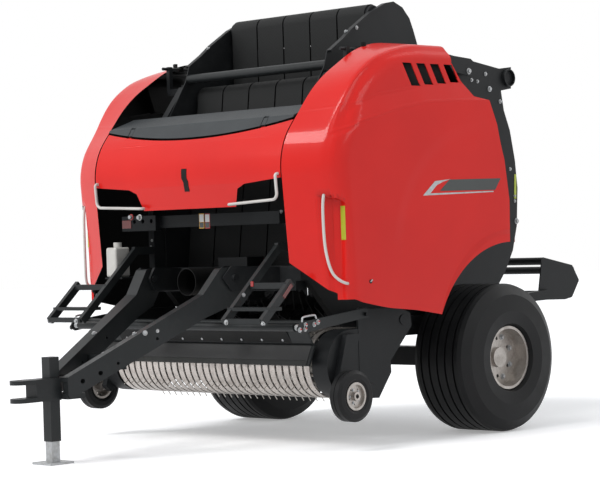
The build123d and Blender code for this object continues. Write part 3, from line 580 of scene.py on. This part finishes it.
def bentTube(name, points, radius, body, look):
    # Smooth tube along a few points, closed at both ends
    curve = bpy.data.curves.new(name, "CURVE")
    curve.dimensions = "3D"
    curve.bevel_depth = radius
    curve.bevel_resolution = 3
    curve.resolution_u = 8
    curve.use_fill_caps = True
    spline = curve.splines.new("NURBS")
    spline.points.add(len(points) - 1)
    for point, place in zip(spline.points, points):
        point.co = (*place, 1)
    spline.order_u = 3
    spline.use_endpoint_u = True
    holder = bpy.data.objects.new(name + "_line", curve)
    bpy.context.scene.collection.objects.link(holder)
    solid = bpy.data.meshes.new_from_object(holder.evaluated_get(bpy.context.evaluated_depsgraph_get()))
    bpy.data.objects.remove(holder)
    bpy.data.curves.remove(curve)
    mesh = bmesh.new()
    mesh.from_mesh(solid)
    bpy.data.meshes.remove(solid)
    bmesh.ops.remove_doubles(mesh, verts=mesh.verts, dist=0.00005)
    for face in mesh.faces:
        face.smooth = len(face.verts) < 6
    return placePiece(name, mesh, body, look)


beltRun = {
    # Rollers that the front belts run round: length, height and the side they touch
    "rollers": [(-1.010, 1.040, 1), (-0.870, 2.195, 1), (-0.654, 2.222, -1), (-0.542, 2.645, 1), (-0.260, 2.300, 1),
                (-0.840, 1.060, 1)],
    "radius": 0.060,
    "idler": 0.044,
    "thick": 0.008,
    "count": 5,
    "pitch": 0.241,
    "width": 0.229,
    "gap": 0.0004,                      # between belt and roller
    "half": 0.6196,                     # of the rollers' length
    "chamfer": 0.003,
}


def beltLine(spec):
    # Middle of the belt's thickness, tangent to one roller after another
    wheels = []
    for y, z, side in spec["rollers"]:
        reach = (spec["radius"] if side > 0 else spec["idler"]) + spec["thick"] / 2 + spec["gap"]
        wheels.append((Vector((y, z)), side * reach))
    leaving = []
    for index, (centre, reach) in enumerate(wheels):
        onward, nextReach = wheels[(index + 1) % len(wheels)]
        way = onward - centre
        leaving.append(math.atan2(way.y, way.x) + math.acos((reach - nextReach) / way.length))
    line = []
    for index, (centre, reach) in enumerate(wheels):
        start, end = leaving[index - 1], leaving[index]
        turn = (start - end) % math.tau if reach > 0 else -((end - start) % math.tau)
        steps = max(3, int(abs(turn) / math.radians(7)))
        for step in range(steps + 1):
            angle = start - turn * step / steps
            line.append(centre + Vector((math.cos(angle), math.sin(angle))) * reach)
    return line


def makeBelts(spec):
    line = beltLine(spec)
    mesh = bmesh.new()
    for index in range(spec["count"]):
        left = (index - (spec["count"] - 1) / 2) * spec["pitch"] - spec["width"] / 2
        loop = [mesh.verts.new((left, y, z)) for y, z in line]
        edges = [mesh.edges.new((loop[step - 1], loop[step])) for step in range(len(loop))]
        moveGrown(mesh, bmesh.ops.extrude_edge_only(mesh, edges=edges), (spec["width"], 0, 0))
    belts = placePiece("belt_strips_front", mesh, "frame", "belt_rubber")
    wall = belts.modifiers.new("thickness", "SOLIDIFY")
    wall.thickness = spec["thick"]
    wall.offset = 0
    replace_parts(belts, "belts_front")
    turning = bmesh.new()
    for y, z, side in spec["rollers"]:
        reach = spec["radius"] if side > 0 else spec["idler"]
        for end in (-1, 1):
            addDisc(turning, (end * spec["half"] / 2, y, z), (end, 0, 0), reach, spec["half"], 40,
                    chamfer=spec["chamfer"])
    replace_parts(placePiece("rollers_front_run", turning, "frame", "black_paint"), "rollers_front")


makeBelts(beltRun)


def smoothStep(value, low, high):
    share = min(1.0, max(0.0, (value - low) / (high - low)))
    return share * share * (3 - 2 * share)


def readLine(points, at):
    for (first, low), (second, high) in zip(points, points[1:]):
        if at <= second:
            share = max(0.0, (at - first) / (second - first))
            return low + (high - low) * share
    return points[-1][1]


def roundedLine(corners):
    # Corners (length, height, radius) as a line with its corners rounded
    line = [Vector(corners[0][:2])]
    for before, corner, after in zip(corners, corners[1:], corners[2:]):
        middle = Vector(corner[:2])
        back = (Vector(before[:2]) - middle).normalized()
        on = (Vector(after[:2]) - middle).normalized()
        half = math.acos(max(-1.0, min(1.0, back.dot(on)))) / 2
        centre = middle + (back + on).normalized() * corner[2] / math.sin(half)
        start, end = (middle + way * corner[2] / math.tan(half) - centre for way in (back, on))
        for step in range(9):
            line.append(centre + start.slerp(end, step / 8) if start.angle(end) > 0.001 else centre + start)
    line.append(Vector(corners[-1][:2]))
    return line


def gapTo(line, place):
    # Shortest way from a point to a line of points
    best = 9.0
    for start, end in zip(line, line[1:]):
        run = end - start
        share = max(0.0, min(1.0, (place - start).dot(run) / max(run.length_squared, 1e-12)))
        best = min(best, (place - start - run * share).length)
    return best


coverShape = {
    "inner": 0.842,
    "outer": 1.232,
    "nose": 1.176,                      # the outer face runs in to this at the front
    "noseSpan": (-0.040, -1.536),
    "sweep": 0.30,                      # how far the front goes back, for each metre outwards
    "sweepSpan": (-1.08, -1.62),
    "droop": 0.045,                     # the roof falls a little outwards
    "contour": [(-1.560, 0.700, 0), (-1.648, 1.790, 0.400), (-1.330, 2.180, 0.900), (-0.900, 2.440, 0.700),
                (0.200, 2.440, 0)],
    "sink": 0.034,                      # sunk window over the sill
    "sinkSpan": 0.115,
    "lean": 0.028,                      # the upper rear leans back
    "leanSpans": ((0.5, 0.9), (1.75, 2.15), (-1.35, -0.95)),    # it sets in outwards, upwards and rearwards
    "margin": (0.070, 0.125),
    "pocket": [(1.026, -1.700), (1.050, -1.530), (1.085, -1.470), (1.120, -1.438), (1.300, -1.452)],
    "pocketRoof": (1.044, 1.505, 17.0), # X, Z and its fall in degrees
    # Outline of the near-black sheet behind the vents, which is painted shade
    "tray": [(-0.920, 2.305), (-0.492, 2.300), (-0.408, 2.195), (-0.404, 2.150), (-0.852, 2.128)],
    "shadeSheetFace": 1.118,                  # from the middle to the painted-shade sheet's inner face
    "shadeSheetFrom": 1.05,                   # from where the cover's inside is looked for
    "shadeSheetRim": 1.150,                   # used over the vents, where nothing is met
    "shadeSheetThick": 0.002,
    "wall": 0.006,
    "grid": 0.030,                      # between the cuts that let the cover bend
    "gridCount": 54,
    "gridFrom": (-1.64, 0.82),          # its first cuts along Y and Z
    "fineFrom": 1.835,                  # cuts halfway between those, over the sill
    "fineCount": 14,
    "cuts": (0.90, 0.96, 1.026, 1.038, 1.054, 1.075, 1.10, 1.13, 1.16, 1.19),
    "roofCuts": (0.0, -0.004),
    "lugWidth": 0.0215,                 # hinge lugs, from the inner face outwards
    "lugFoot": 2.30,
    "roofStart": 20,                    # point of the rounded contour where the roof starts
    "grip": [(1.075, -1.490, 1.548), (1.075, -1.541, 1.540), (1.077, -1.541, 1.240), (1.091, -1.527, 1.110),
             (1.113, -1.508, 1.030), (1.153, -1.462, 0.985), (1.156, -1.430, 0.982)],
    "gripRadius": 0.009,
}


def reshapedCopy(node, name, look, planes, reshape):
    # Copy of a CAD node with its doubles merged, cut by planes so that it can bend, and reshaped
    mesh = bmesh.new()
    mesh.from_mesh(frame["nodes"][node].data)
    bmesh.ops.transform(mesh, matrix=frame["nodes"][node].matrix_world, verts=mesh.verts)
    bmesh.ops.remove_doubles(mesh, verts=mesh.verts, dist=0.00002)
    bmesh.ops.dissolve_limit(mesh, angle_limit=math.radians(0.5), verts=mesh.verts, edges=mesh.edges)
    for place, way in planes:
        cutMesh(mesh, place, way, 0.00002)
    mesh.normal_update()
    reshape(mesh)
    bmesh.ops.triangulate(mesh, faces=[face for face in mesh.faces if len(face.verts) > 4])
    for face in mesh.faces:
        face.smooth = True
    body = body_of(frame["nodes"][node])[0]
    piece = placePiece(name, mesh, body, look)
    piece.data.set_sharp_from_angle(angle=math.radians(28))
    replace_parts(piece, node)
    skins[node] = BVHTree.FromObject(piece, depsgraph)
    return piece


def shapePanel(word, side, spec):
    contour = roundedLine(spec["contour"])
    roofX, roofZ, fall = spec["pocketRoof"]
    slope = math.tan(math.radians(fall))

    def reshape(mesh):
        fronts = {vert: sum(face.normal.y for face in vert.link_faces) < 0 for vert in mesh.verts}
        for vert in mesh.verts:
            out, y, z = abs(vert.co.x), vert.co.y, vert.co.z
            if out < spec["inner"] + spec["lugWidth"] and z > spec["lugFoot"]:
                # The lugs of the hinge end under the roof's edge
                roof = readLine([(point.x, point.y) for point in contour[spec["roofStart"]:]], y)
                z = min(z, roof - 0.003) if out < spec["inner"] - 0.0005 or z > roof + 0.001 else z
            share = max(0.0, out - spec["inner"]) / (spec["outer"] - spec["inner"])
            along = max(0.0, min(1.0, (spec["noseSpan"][0] - y) / (spec["noseSpan"][0] - spec["noseSpan"][1])))
            reach = out - share * (spec["outer"] - spec["nose"]) * along
            if share > 0.6:
                rise = max(0.0, min(1.0, (z - readLine(panelLines["sill"], y)) / spec["sinkSpan"]))
                deep = smoothStep(gapTo(contour, Vector((y, z))), *spec["margin"])
                reach -= spec["sink"] * rise * deep * smoothStep(share, 0.70, 0.92)
            back = spec["sweep"] * share * (spec["outer"] - spec["inner"])
            front = y + back * smoothStep(-y, -spec["sweepSpan"][0], -spec["sweepSpan"][1])
            rear = math.prod(smoothStep(value, *span) for value, span in zip((share, z, y), spec["leanSpans"]))
            front += spec["lean"] * rear
            if reach > spec["pocket"][0][0] and z < roofZ - slope * (reach - roofX) - 0.002:
                floor = readLine(spec["pocket"], reach)
                front = max(front, floor if fronts[vert] else floor + spec["wall"])
            high = z - spec["droop"] * share * smoothStep(z, 2.29, 2.44)
            vert.co = (side * reach, front, high)

    step = spec["grid"]
    firstY, firstZ = spec["gridFrom"]
    planes = [((0, firstY + step * index, 0), (0, 1, 0)) for index in range(spec["gridCount"])]
    planes += [((0, 0, firstZ + step * index), (0, 0, 1)) for index in range(spec["gridCount"])]
    planes += [((0, 0, spec["fineFrom"] + step * (index + 0.5)), (0, 0, 1)) for index in range(spec["fineCount"])]
    planes += [((side * x, 0, 0), (1, 0, 0)) for x in spec["cuts"]]
    planes += [((side * roofX, 0, roofZ + drop), (side * slope, 0, 1)) for drop in spec["roofCuts"]]
    reshapedCopy("panel_" + word, "cover_" + word, word + "_red", planes, reshape)
    # Near-black sheet behind the vents: painted shade, so that the vents look dark
    tray = bmesh.new()
    back = tray.faces.new([tray.verts.new((side * spec["shadeSheetFace"], y, z)) for y, z in spec["tray"]])
    grown = bmesh.ops.extrude_face_region(tray, geom=[back], use_keep_orig=True)["geom"]
    for item in grown:
        if isinstance(item, bmesh.types.BMVert):
            start = Vector((side * spec["shadeSheetFrom"], item.co.y, item.co.z))
            place = skins["panel_" + word].ray_cast(start, Vector((side, 0, 0)))[0]
            item.co.x = (place.x if place else side * spec["shadeSheetRim"]) - side * 0.0005
    bmesh.ops.delete(tray, geom=[item for item in grown if isinstance(item, bmesh.types.BMFace)], context="FACES_ONLY")
    shadeSheetPiece = placePiece("vent_tray_" + word, tray, "panel_" + word, "black_plastic")
    wall = shadeSheetPiece.modifiers.new("thickness", "SOLIDIFY")
    wall.thickness = spec["shadeSheetThick"]
    wall.offset = 0
    # Grab bar that stands in the pocket
    bar = bentTube("grip_" + word, [(side * x, y, z) for x, y, z in spec["grip"]], spec["gripRadius"],
                   "panel_" + word, "tube_grey")
    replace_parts(bar, "grab_bar_" + word)


hoodShape = {
    "crease": 1.600,
    "lip": 1.454,
    "tuck": 0.020,
    "flaps": (0.6, -1.5197, 1.9549),    # place of the left one
    "flapFace": (0, -0.841, 0.542),
    "flapLean": (0, 0.542, 0.841),
    "flapSize": (0.052, 0.034, 0.005),
    # Outline of the catch's slot, which is painted near-black as painted shade
    "slot": [(-0.022, 1.700), (0.024, 1.700), (0.024, 1.642), (0.036, 1.620), (0.036, 1.560), (-0.006, 1.560),
             (-0.006, 1.616), (-0.022, 1.642)],
    "slotShadeCuts": (1.60, 1.625, 1.65, 1.675),
    "slotShadeProud": 0.0025,
    "slotShadeThick": 0.0035,
}


def shapeHood(spec):
    def reshape(mesh):
        for vert in mesh.verts:
            if vert.co.z < spec["crease"]:
                vert.co.y += spec["tuck"] * (spec["crease"] - vert.co.z) / (spec["crease"] - spec["lip"])

    planes = [((0, 0, spec["crease"]), (0, 0, 1))]
    reshapedCopy("hood", "hood_cover", "hood_red", planes, reshape)
    # Grey flaps that fill the cover's notches over the leaves
    flaps = bmesh.new()
    x, y, z = spec["flaps"]
    for side in (-1, 1):
        addPad(flaps, (side * x, y, z), spec["flapFace"], spec["flapLean"], *spec["flapSize"], soft=0.001)
    placePiece("hood_flaps", flaps, "hood", "grey_plastic")
    # Stepped slot of the catch, drawn as a thin near-black plate just proud of the hood's face: painted shade of the
    # opening
    slot = bmesh.new()
    slot.faces.new([slot.verts.new((x, 0, z)) for x, z in spec["slot"]])
    for z in spec["slotShadeCuts"]:
        cutMesh(slot, (0, 0, z), (0, 0, 1))
    for vert in slot.verts:
        place = skins["hood"].ray_cast(Vector((vert.co.x, -1.9, vert.co.z)), Vector((0, 1, 0)))[0]
        vert.co.y = place.y - spec["slotShadeProud"]
    moveGrown(slot, bmesh.ops.extrude_face_region(slot, geom=slot.faces[:]), (0, spec["slotShadeThick"], 0))
    placePiece("hood_slot_shade", slot, "hood", "black_plastic")


depsgraph = bpy.context.evaluated_depsgraph_get()
skins = {}
for word, side in sides:
    shapePanel(word, side, coverShape)
shapeHood(hoodShape)
print("stage: belts and covers")


def skin(node):
    if node not in skins:
        skins[node] = BVHTree.FromObject(frame["nodes"][node], depsgraph)
    return skins[node]


def seenAt(node, across, down):
    # The point of a node that the photograph shows at a pixel, and which way it faces
    camera = bpy.context.scene.camera
    width, height = photoCamera["pixels"]
    focal = photoCamera["lens"] / photoCamera["sensor"] * width
    ray = camera.matrix_world.to_3x3() @ Vector((across - width / 2, height / 2 - down, -focal))
    place, normal = skin(node).ray_cast(camera.matrix_world.translation, ray.normalized())[:2]
    if place is None:
        print("nothing of", node, "at", across, down)
        return None, None
    return place, normal if normal.dot(ray) < 0 else -normal


def touchSide(node, y, z, side, reach=2.0):
    # The outer face of a node at a height and length, looked at from the side
    place, normal = skin(node).ray_cast(Vector((side * reach, y, z)), Vector((-side, 0, 0)))[:2]
    return place, (normal if normal is None or normal.x * side > 0 else -normal)


def mirrored(place):
    return Vector((-place[0], place[1], place[2]))


# Bolt heads that the photograph shows: node, pixel across and down, size
boltRows = {
    "frame": [
        ("side_walls", 346.0, 31.5, 0.016), ("side_walls", 356.5, 27.5, 0.016), ("side_walls", 345.8, 49.6, 0.016),
        ("drawbar", 134.5, 334.0, 0.020), ("drawbar", 145.0, 333.0, 0.020), ("drawbar", 157.5, 331.0, 0.014),
        ("steps", 262.9, 323.1, 0.020), ("steps", 226.4, 322.4, 0.020), ("steps", 243.6, 295.0, 0.016),
        ("front_beam", 281.0, 211.5, 0.014),
        ("main_frame", 151.0, 247.0, 0.012), ("main_frame", 152.0, 240.5, 0.012),
    ],
    "tailgate": [
        ("tailgate_sides", 468.6, 71.2, 0.026), ("tailgate_sides", 485.4, 74.0, 0.018),
        ("tailgate_sides", 489.4, 89.0, 0.024), ("tailgate_sides", 471.5, 80.0, 0.016),
        ("tailgate_sides", 477.4, 81.4, 0.016), ("tailgate_sides", 516.3, 221.0, 0.026),
        ("tailgate_sides", 514.7, 195.8, 0.014), ("tailgate_sides", 514.7, 201.0, 0.014),
        ("tailgate_sides", 500.0, 101.5, 0.018), ("tailgate_sides", 510.0, 169.0, 0.016),
    ],
}


def makeBolts(rows):
    for body, table in rows.items():
        mesh = bmesh.new()
        for node, across, down, size in table:
            place, way = seenAt(node, across, down)
            if place is None:
                continue
            addBolt(mesh, place, way, size)
            other = skin(node).ray_cast(mirrored(place + way * 0.05), -mirrored(way), 0.08)[0]
            if other is not None:
                addBolt(mesh, other, mirrored(way), size)
        placePiece(body + "_bolts", mesh, body, "galvanised")


makeBolts(boltRows)

guardArm = {
    "bolts": [(-1.712, 0.725), (-1.668, 0.728), (-1.664, 0.752), (-1.592, 0.752), (-1.560, 0.764)],
    "size": 0.019,
    "capSize": 0.0055,
    "darkStrip": ((-1.584, 0.744), (-1.508, 0.634)),    # from the cross tube down to the sheet
    "darkStripHalf": 0.765,
    "flaps": [("guard_flap", "sheet_rubber", (-1.4905, 0.622), (-1.5295, 0.534), 0.0022),
              ("guard_lip", "plate_grey", (-1.5297, 0.5335), (-1.5415, 0.5070), 0.0030)],
    "flapHalf": 0.905,
    "rivets": (9, 0.175, 0.008),        # count, pitch and radius
    "coil": (0.979, -1.690, 0.738),
    "coilRadius": 0.017,
    "coilPitch": 0.007,
    "coilTurns": 4,
    "coilWire": 0.0038,
    "barX": 1.021,
    "barRadius": 0.006,
    "bar": [(-1.688, 0.738), (-1.688, 0.790), (-1.668, 0.800), (-1.590, 0.806), (-1.570, 0.804), (-1.562, 0.760)],
}


def placeStrip(name, look, high, low, out, half):
    # Flat strip across the guard, from a high to a low edge, seen from the front
    top, foot = (Vector((0, *end)) for end in (high, low))
    fall = foot - top
    front = fall.cross(Vector((1, 0, 0))).normalized()
    if front.y > 0:
        front = -front
    placeOne(addPad, name, "wind_guard", "black_plastic", look, (top + foot) / 2 + front * out, front, (1, 0, 0),
             half * 2, fall.length, 0.004, soft=0.0012)
    return foot, fall, front


def makeGuardDetails(spec):
    heads, caps = bmesh.new(), bmesh.new()
    for y, z in spec["bolts"]:
        for side in (-1, 1):
            place = touchSide("wind_guard", y, z, side)[0]
            if place is None or abs(place.x) < 0.95:
                print("no guard arm at", y, z)
                continue
            addBolt(heads, place, (side, 0, 0), spec["size"])
            addDisc(caps, place + Vector((side * spec["size"] * 0.60, 0, 0.004)), (side, 0, 0), spec["capSize"], 0.006,
                    12, chamfer=0.0015)
    placePiece("guard_arm_bolts", heads, "wind_guard", "galvanised")
    placePiece("guard_bolt_caps", caps, "wind_guard", "lamp_plastic")
    # Near-black strip between the cross tube and the bent sheet, with a row of rivets
    foot, fall, front = placeStrip("guard_dark_strip", "black_plastic", *spec["darkStrip"], 0.0, spec["darkStripHalf"])
    # Grey rubber flap over the sheet's lower half and the light lip under it
    for row in spec["flaps"]:
        placeStrip(*row, spec["flapHalf"])
    rivets = bmesh.new()
    count, pitch, radius = spec["rivets"]
    for index in range(count):
        across = Vector(((index - (count - 1) / 2) * pitch, 0, 0))
        addDisc(rivets, foot - fall * 0.18 + front * 0.004 + across, front, radius, 0.005, 12, chamfer=0.0015)
    placePiece("guard_rivets", rivets, "wind_guard", "galvanised")
    # Springs wound round the ends of the roller's shaft
    x, y, z = spec["coil"]
    for word, side in sides:
        turns = []
        for step in range(spec["coilTurns"] * 6 + 1):
            turn = math.radians(60 * step)
            turns.append((side * (x + spec["coilPitch"] * step / 6), y + spec["coilRadius"] * math.cos(turn),
                          z + spec["coilRadius"] * math.sin(turn)))
        bentTube("guard_spring_" + word, turns, spec["coilWire"], "wind_guard", "galvanised")
    # Bar of the guard's stop
    for word, side in sides:
        line = [(side * spec["barX"], y, z) for y, z in spec["bar"]]
        bentTube("guard_bar_" + word, line, spec["barRadius"], "wind_guard", "galvanised")


makeGuardDetails(guardArm)
print("stage: bolts and wind guard")

# Wheel nuts: start of the rim's and of the wheel's name, centre in Y and Z, then radius, count and size
nutRows = [
    ("rim_", "wheel_", 0.0, 0.465, 0.135, 8, 0.024),
    ("gauge_rim_", "gauge_wheel_", -1.410, 0.325, 0.040, 5, 0.012),
]


def makeNuts(rows):
    # Found by looking along the axle at the discs
    for word, side in sides:
        for kind, body, middleY, middleZ, ring, count, size in rows:
            nuts = bmesh.new()
            for index in range(count):
                turn = math.tau * (index + 0.5) / count
                y, z = middleY + ring * math.cos(turn), middleZ + ring * math.sin(turn)
                place, way = touchSide(kind + word, y, z, side)
                if place is not None and abs(way.x) > 0.7:
                    addBolt(nuts, place, (side, 0, 0), size)
            placePiece(kind + "nuts_" + word, nuts, body + word, "galvanised")


# Knobs of the box on the front beam: radius and height of the ring and of the knob; name, pixel and ring's look
beamKnobs = {
    "ring": (0.0195, 0.004),
    "knob": (0.0140, 0.020),
    "rows": [("knob_left", 131.4, 217.2, "lamp_plastic"), ("knob_right", 139.8, 217.5, "label_white")],
}


def makeKnobs(spec):
    for name, across, down, look in spec["rows"]:
        place, way = seenAt("front_beam", across, down)
        placeOne(addDisc, name + "_ring", "frame", "lamp_plastic", look, place + way * 0.001, way, *spec["ring"], 28,
                 chamfer=0.001)
        placeOne(addDisc, name, "frame", "galvanised", "galvanised", place + way * 0.010, way, *spec["knob"], 24,
                 chamfer=0.003, top=0.9)


coverLatch = {
    "place": (-1.266, 0.988),
    "hole": (0.012, 0.003),             # radius and depth
    "key": (0.022, 0.007, 0.004),
    "keyLean": (0, 0.8, 0.6),
}


def makeLatches(spec):
    # Catch of each side cover: dark hole with the key's end in it
    for word, side in sides:
        node = "panel_" + word
        place, way = touchSide(node, *spec["place"], side)
        placeOne(addDisc, "latch_hole_" + word, node, "black_plastic", "black_plastic", place, way, *spec["hole"], 24,
                 chamfer=0.0008)
        placeOne(addPad, "latch_key_" + word, node, "galvanised", "galvanised",
                 place + way * 0.0035 + Vector((0, 0.004, 0.004)), way, spec["keyLean"], *spec["key"], soft=0.001)


tailEnds = {
    "tube": (0.765, 2.290),
    "tubeRadius": 0.058,
    "tubeWidth": 0.024,
    "tubeWall": 0.006,
    "tubeDeep": 0.020,
    "strip": (0.815, 1.560),
    "stripSize": (0.165, 0.022, 0.003),
    "stripLean": (0, 0.06, 1),
}


def makeTailEnds(spec):
    # Collars on the ends of the rear tube and lime strips on the tailgate
    for word, side in sides:
        place = touchSide("tailgate_sides", *spec["tube"], side)[0]
        ring = bmesh.new()
        addDisc(ring, place + Vector((side * spec["tubeWidth"] / 2, 0, 0)), (side, 0, 0), spec["tubeRadius"],
                spec["tubeWidth"], 40, chamfer=0.002)
        face = max(ring.faces, key=lambda cap: cap.calc_center_median().x * side)
        bmesh.ops.inset_region(ring, faces=[face], thickness=spec["tubeWall"], use_even_offset=True)
        moveGrown(ring, bmesh.ops.extrude_face_region(ring, geom=[face]), (-side * spec["tubeDeep"], 0, 0))
        bmesh.ops.delete(ring, geom=[face] if face.is_valid else [], context="FACES_ONLY")
        placePiece("rear_tube_end_" + word, ring, "tailgate", "black_paint")
        place = touchSide("tailgate_sides", *spec["strip"], side)[0]
        placeOne(addPad, "rear_strip_" + word, "tailgate", "tank_plastic", "reflector_lime",
                 place + Vector((side * 0.001, 0, 0)), (side, 0, 0), spec["stripLean"], *spec["stripSize"], soft=0.001)


makeNuts(nutRows)
makeKnobs(beamKnobs)
makeLatches(coverLatch)
makeTailEnds(tailEnds)
print("stage: small parts")

# Pads placed where the photograph shows them: name, node, look, pixel, lean, length, width
padRows = [
    ("beam_reflector", "front_beam", "reflector_dark", 127.0, 224.6, (1, 0, 0), 0.085, 0.052),
    ("step_reflector_outer", "steps", "reflector_dark", 287.5, 291.0, (0, 0.70, 0.71), 0.100, 0.024),
    ("step_reflector_inner", "steps", "lamp_plastic", 252.3, 284.0, (0, 0.70, 0.71), 0.030, 0.022),
]
blankLabels = {
    "size": (0.044, 0.092),
    "border": 0.007,                    # taken off the width of the fields
    "thick": 0.0020,
    # Name, pixel of the middle, border's look
    "rows": [("label_beam_left", 201.7, 221.0, "amber_plastic"), ("label_beam_right", 207.5, 221.0, "lamp_plastic")],
    # End of the name, slot, look, then height above the middle and own height as shares of the label's
    "fields": [
        ("_upper", "tank_plastic", "label_white", 0.19, 0.50),
        ("_lower", "black_plastic", "label_dark", -0.27, 0.36),
    ],
}


def makePads(rows):
    for name, node, look, across, down, lean, length, width in rows:
        place, way = seenAt(node, across, down)
        placeOne(addPad, name, "frame", "lamp_plastic", look, place + way * 0.0015, way, lean, length, width, 0.005,
                 soft=0.0015)


def makeLabels(spec):
    width, height = spec["size"]
    for name, across, down, edge in spec["rows"]:
        place, way = seenAt("front_beam", across, down)
        placeOne(addPad, name + "_edge", "frame", "lamp_plastic", edge, place, way, (1, 0, 0), width, height,
                 spec["thick"], soft=0.0005)
        for end, slot, look, above, share in spec["fields"]:
            placeOne(addPad, name + end, "frame", slot, look,
                     place + Vector((0, 0, height * above)) + way * 0.0008, way, (1, 0, 0), width - spec["border"],
                     height * share, spec["thick"], soft=0.0005)


makePads(padRows)
makeLabels(blankLabels)

# Shapes that lie on the side covers: slot, look and outline as length and height
sideMarks = {
    "mark_silver": ("galvanised", "galvanised", [
        (-0.800, 1.487), (-0.690, 1.574), (-0.549, 1.586), (-0.617, 1.571), (-0.676, 1.549), (-0.735, 1.500),
        (-0.160, 1.512), (-0.157, 1.505)]),
    "mark_band": ("black_plastic", "label_dark", [
        (-0.650, 1.514), (-0.560, 1.583), (-0.088, 1.590), (-0.142, 1.518)]),
}
markShape = {"lift": 0.0003, "thick": 0.0011, "step": 0.03}


def makeSideMark(name, look, outline, word, side, spec):
    node = "panel_" + word
    mesh = bmesh.new()
    mesh.faces.new([mesh.verts.new((0, y, z)) for y, z in outline])
    low, high = min(y for y, z in outline), max(y for y, z in outline)
    count = max(2, int((high - low) / spec["step"]))
    for index in range(1, count):
        cutMesh(mesh, (0, low + (high - low) * index / count, 0), (0, 1, 0))
    for vert in mesh.verts:
        vert.co.x = touchSide(node, vert.co.y, vert.co.z, side)[0].x + side * spec["lift"]
    moveGrown(mesh, bmesh.ops.extrude_face_region(mesh, geom=mesh.faces[:]), (side * spec["thick"], 0, 0))
    placePiece(name + "_" + word, mesh, node, look)


for word, side in sides:
    for name, (slot, look, outline) in sideMarks.items():
        makeSideMark(name, look, outline, word, side, markShape)

pocketStrip = {
    "x": (1.1225, 1.1600),
    "z": (1.236, 1.434),
    "from": -1.64,                      # in front of the pocket, from where its wall is looked for
    "thick": 0.003,
}


def makePocketStrip(spec):
    # Lime strip on the wall behind the grab bar
    (inner, outer), (low, high) = spec["x"], spec["z"]
    for word, side in sides:
        start = Vector((side * (inner + outer) / 2, spec["from"], (low + high) / 2))
        place, way = skin("panel_" + word).ray_cast(start, Vector((0, 1, 0)))[:2]
        if way.y > 0:
            way = -way
        placeOne(addPad, "pocket_strip_" + word, "panel_" + word, "tank_plastic", "reflector_lime", place + way * 0.001,
                 way, (0, 0, 1), high - low, outer - inner, spec["thick"], soft=0.001)


makePocketStrip(pocketStrip)
print("stage: labels and side marks")


def floorMaterial(spec):
    paint = Paint("studio_floor")
    tone = paint.span(paint.noise(0.6, 3), 0.3, 0.7)
    paint.set(Base_Color=paint.mixed(tone, spec["floorColour"], (0.93, 0.93, 0.93, 1)), Roughness=0.8,
              Emission_Color=(1, 1, 1, 1), Specular_IOR_Level=0.1,
              Emission_Strength=Signal(paint, seenRays(paint.tree)) * spec["floorGlow"])
    return paint.material


def makeFloor(spec):
    mesh = bmesh.new()
    bmesh.ops.create_grid(mesh, x_segments=1, y_segments=1, size=spec["floorHalf"])
    bmesh.ops.translate(mesh, verts=mesh.verts, vec=(0, 0, -0.001))
    data = bpy.data.meshes.new("studio_floor")
    mesh.to_mesh(data)
    mesh.free()
    floor = bpy.data.objects.new("studio_floor", data)
    data.materials.append(floorMaterial(spec))
    bpy.context.scene.collection.objects.link(floor)


makeFloor(studio)
print("stage: floor")
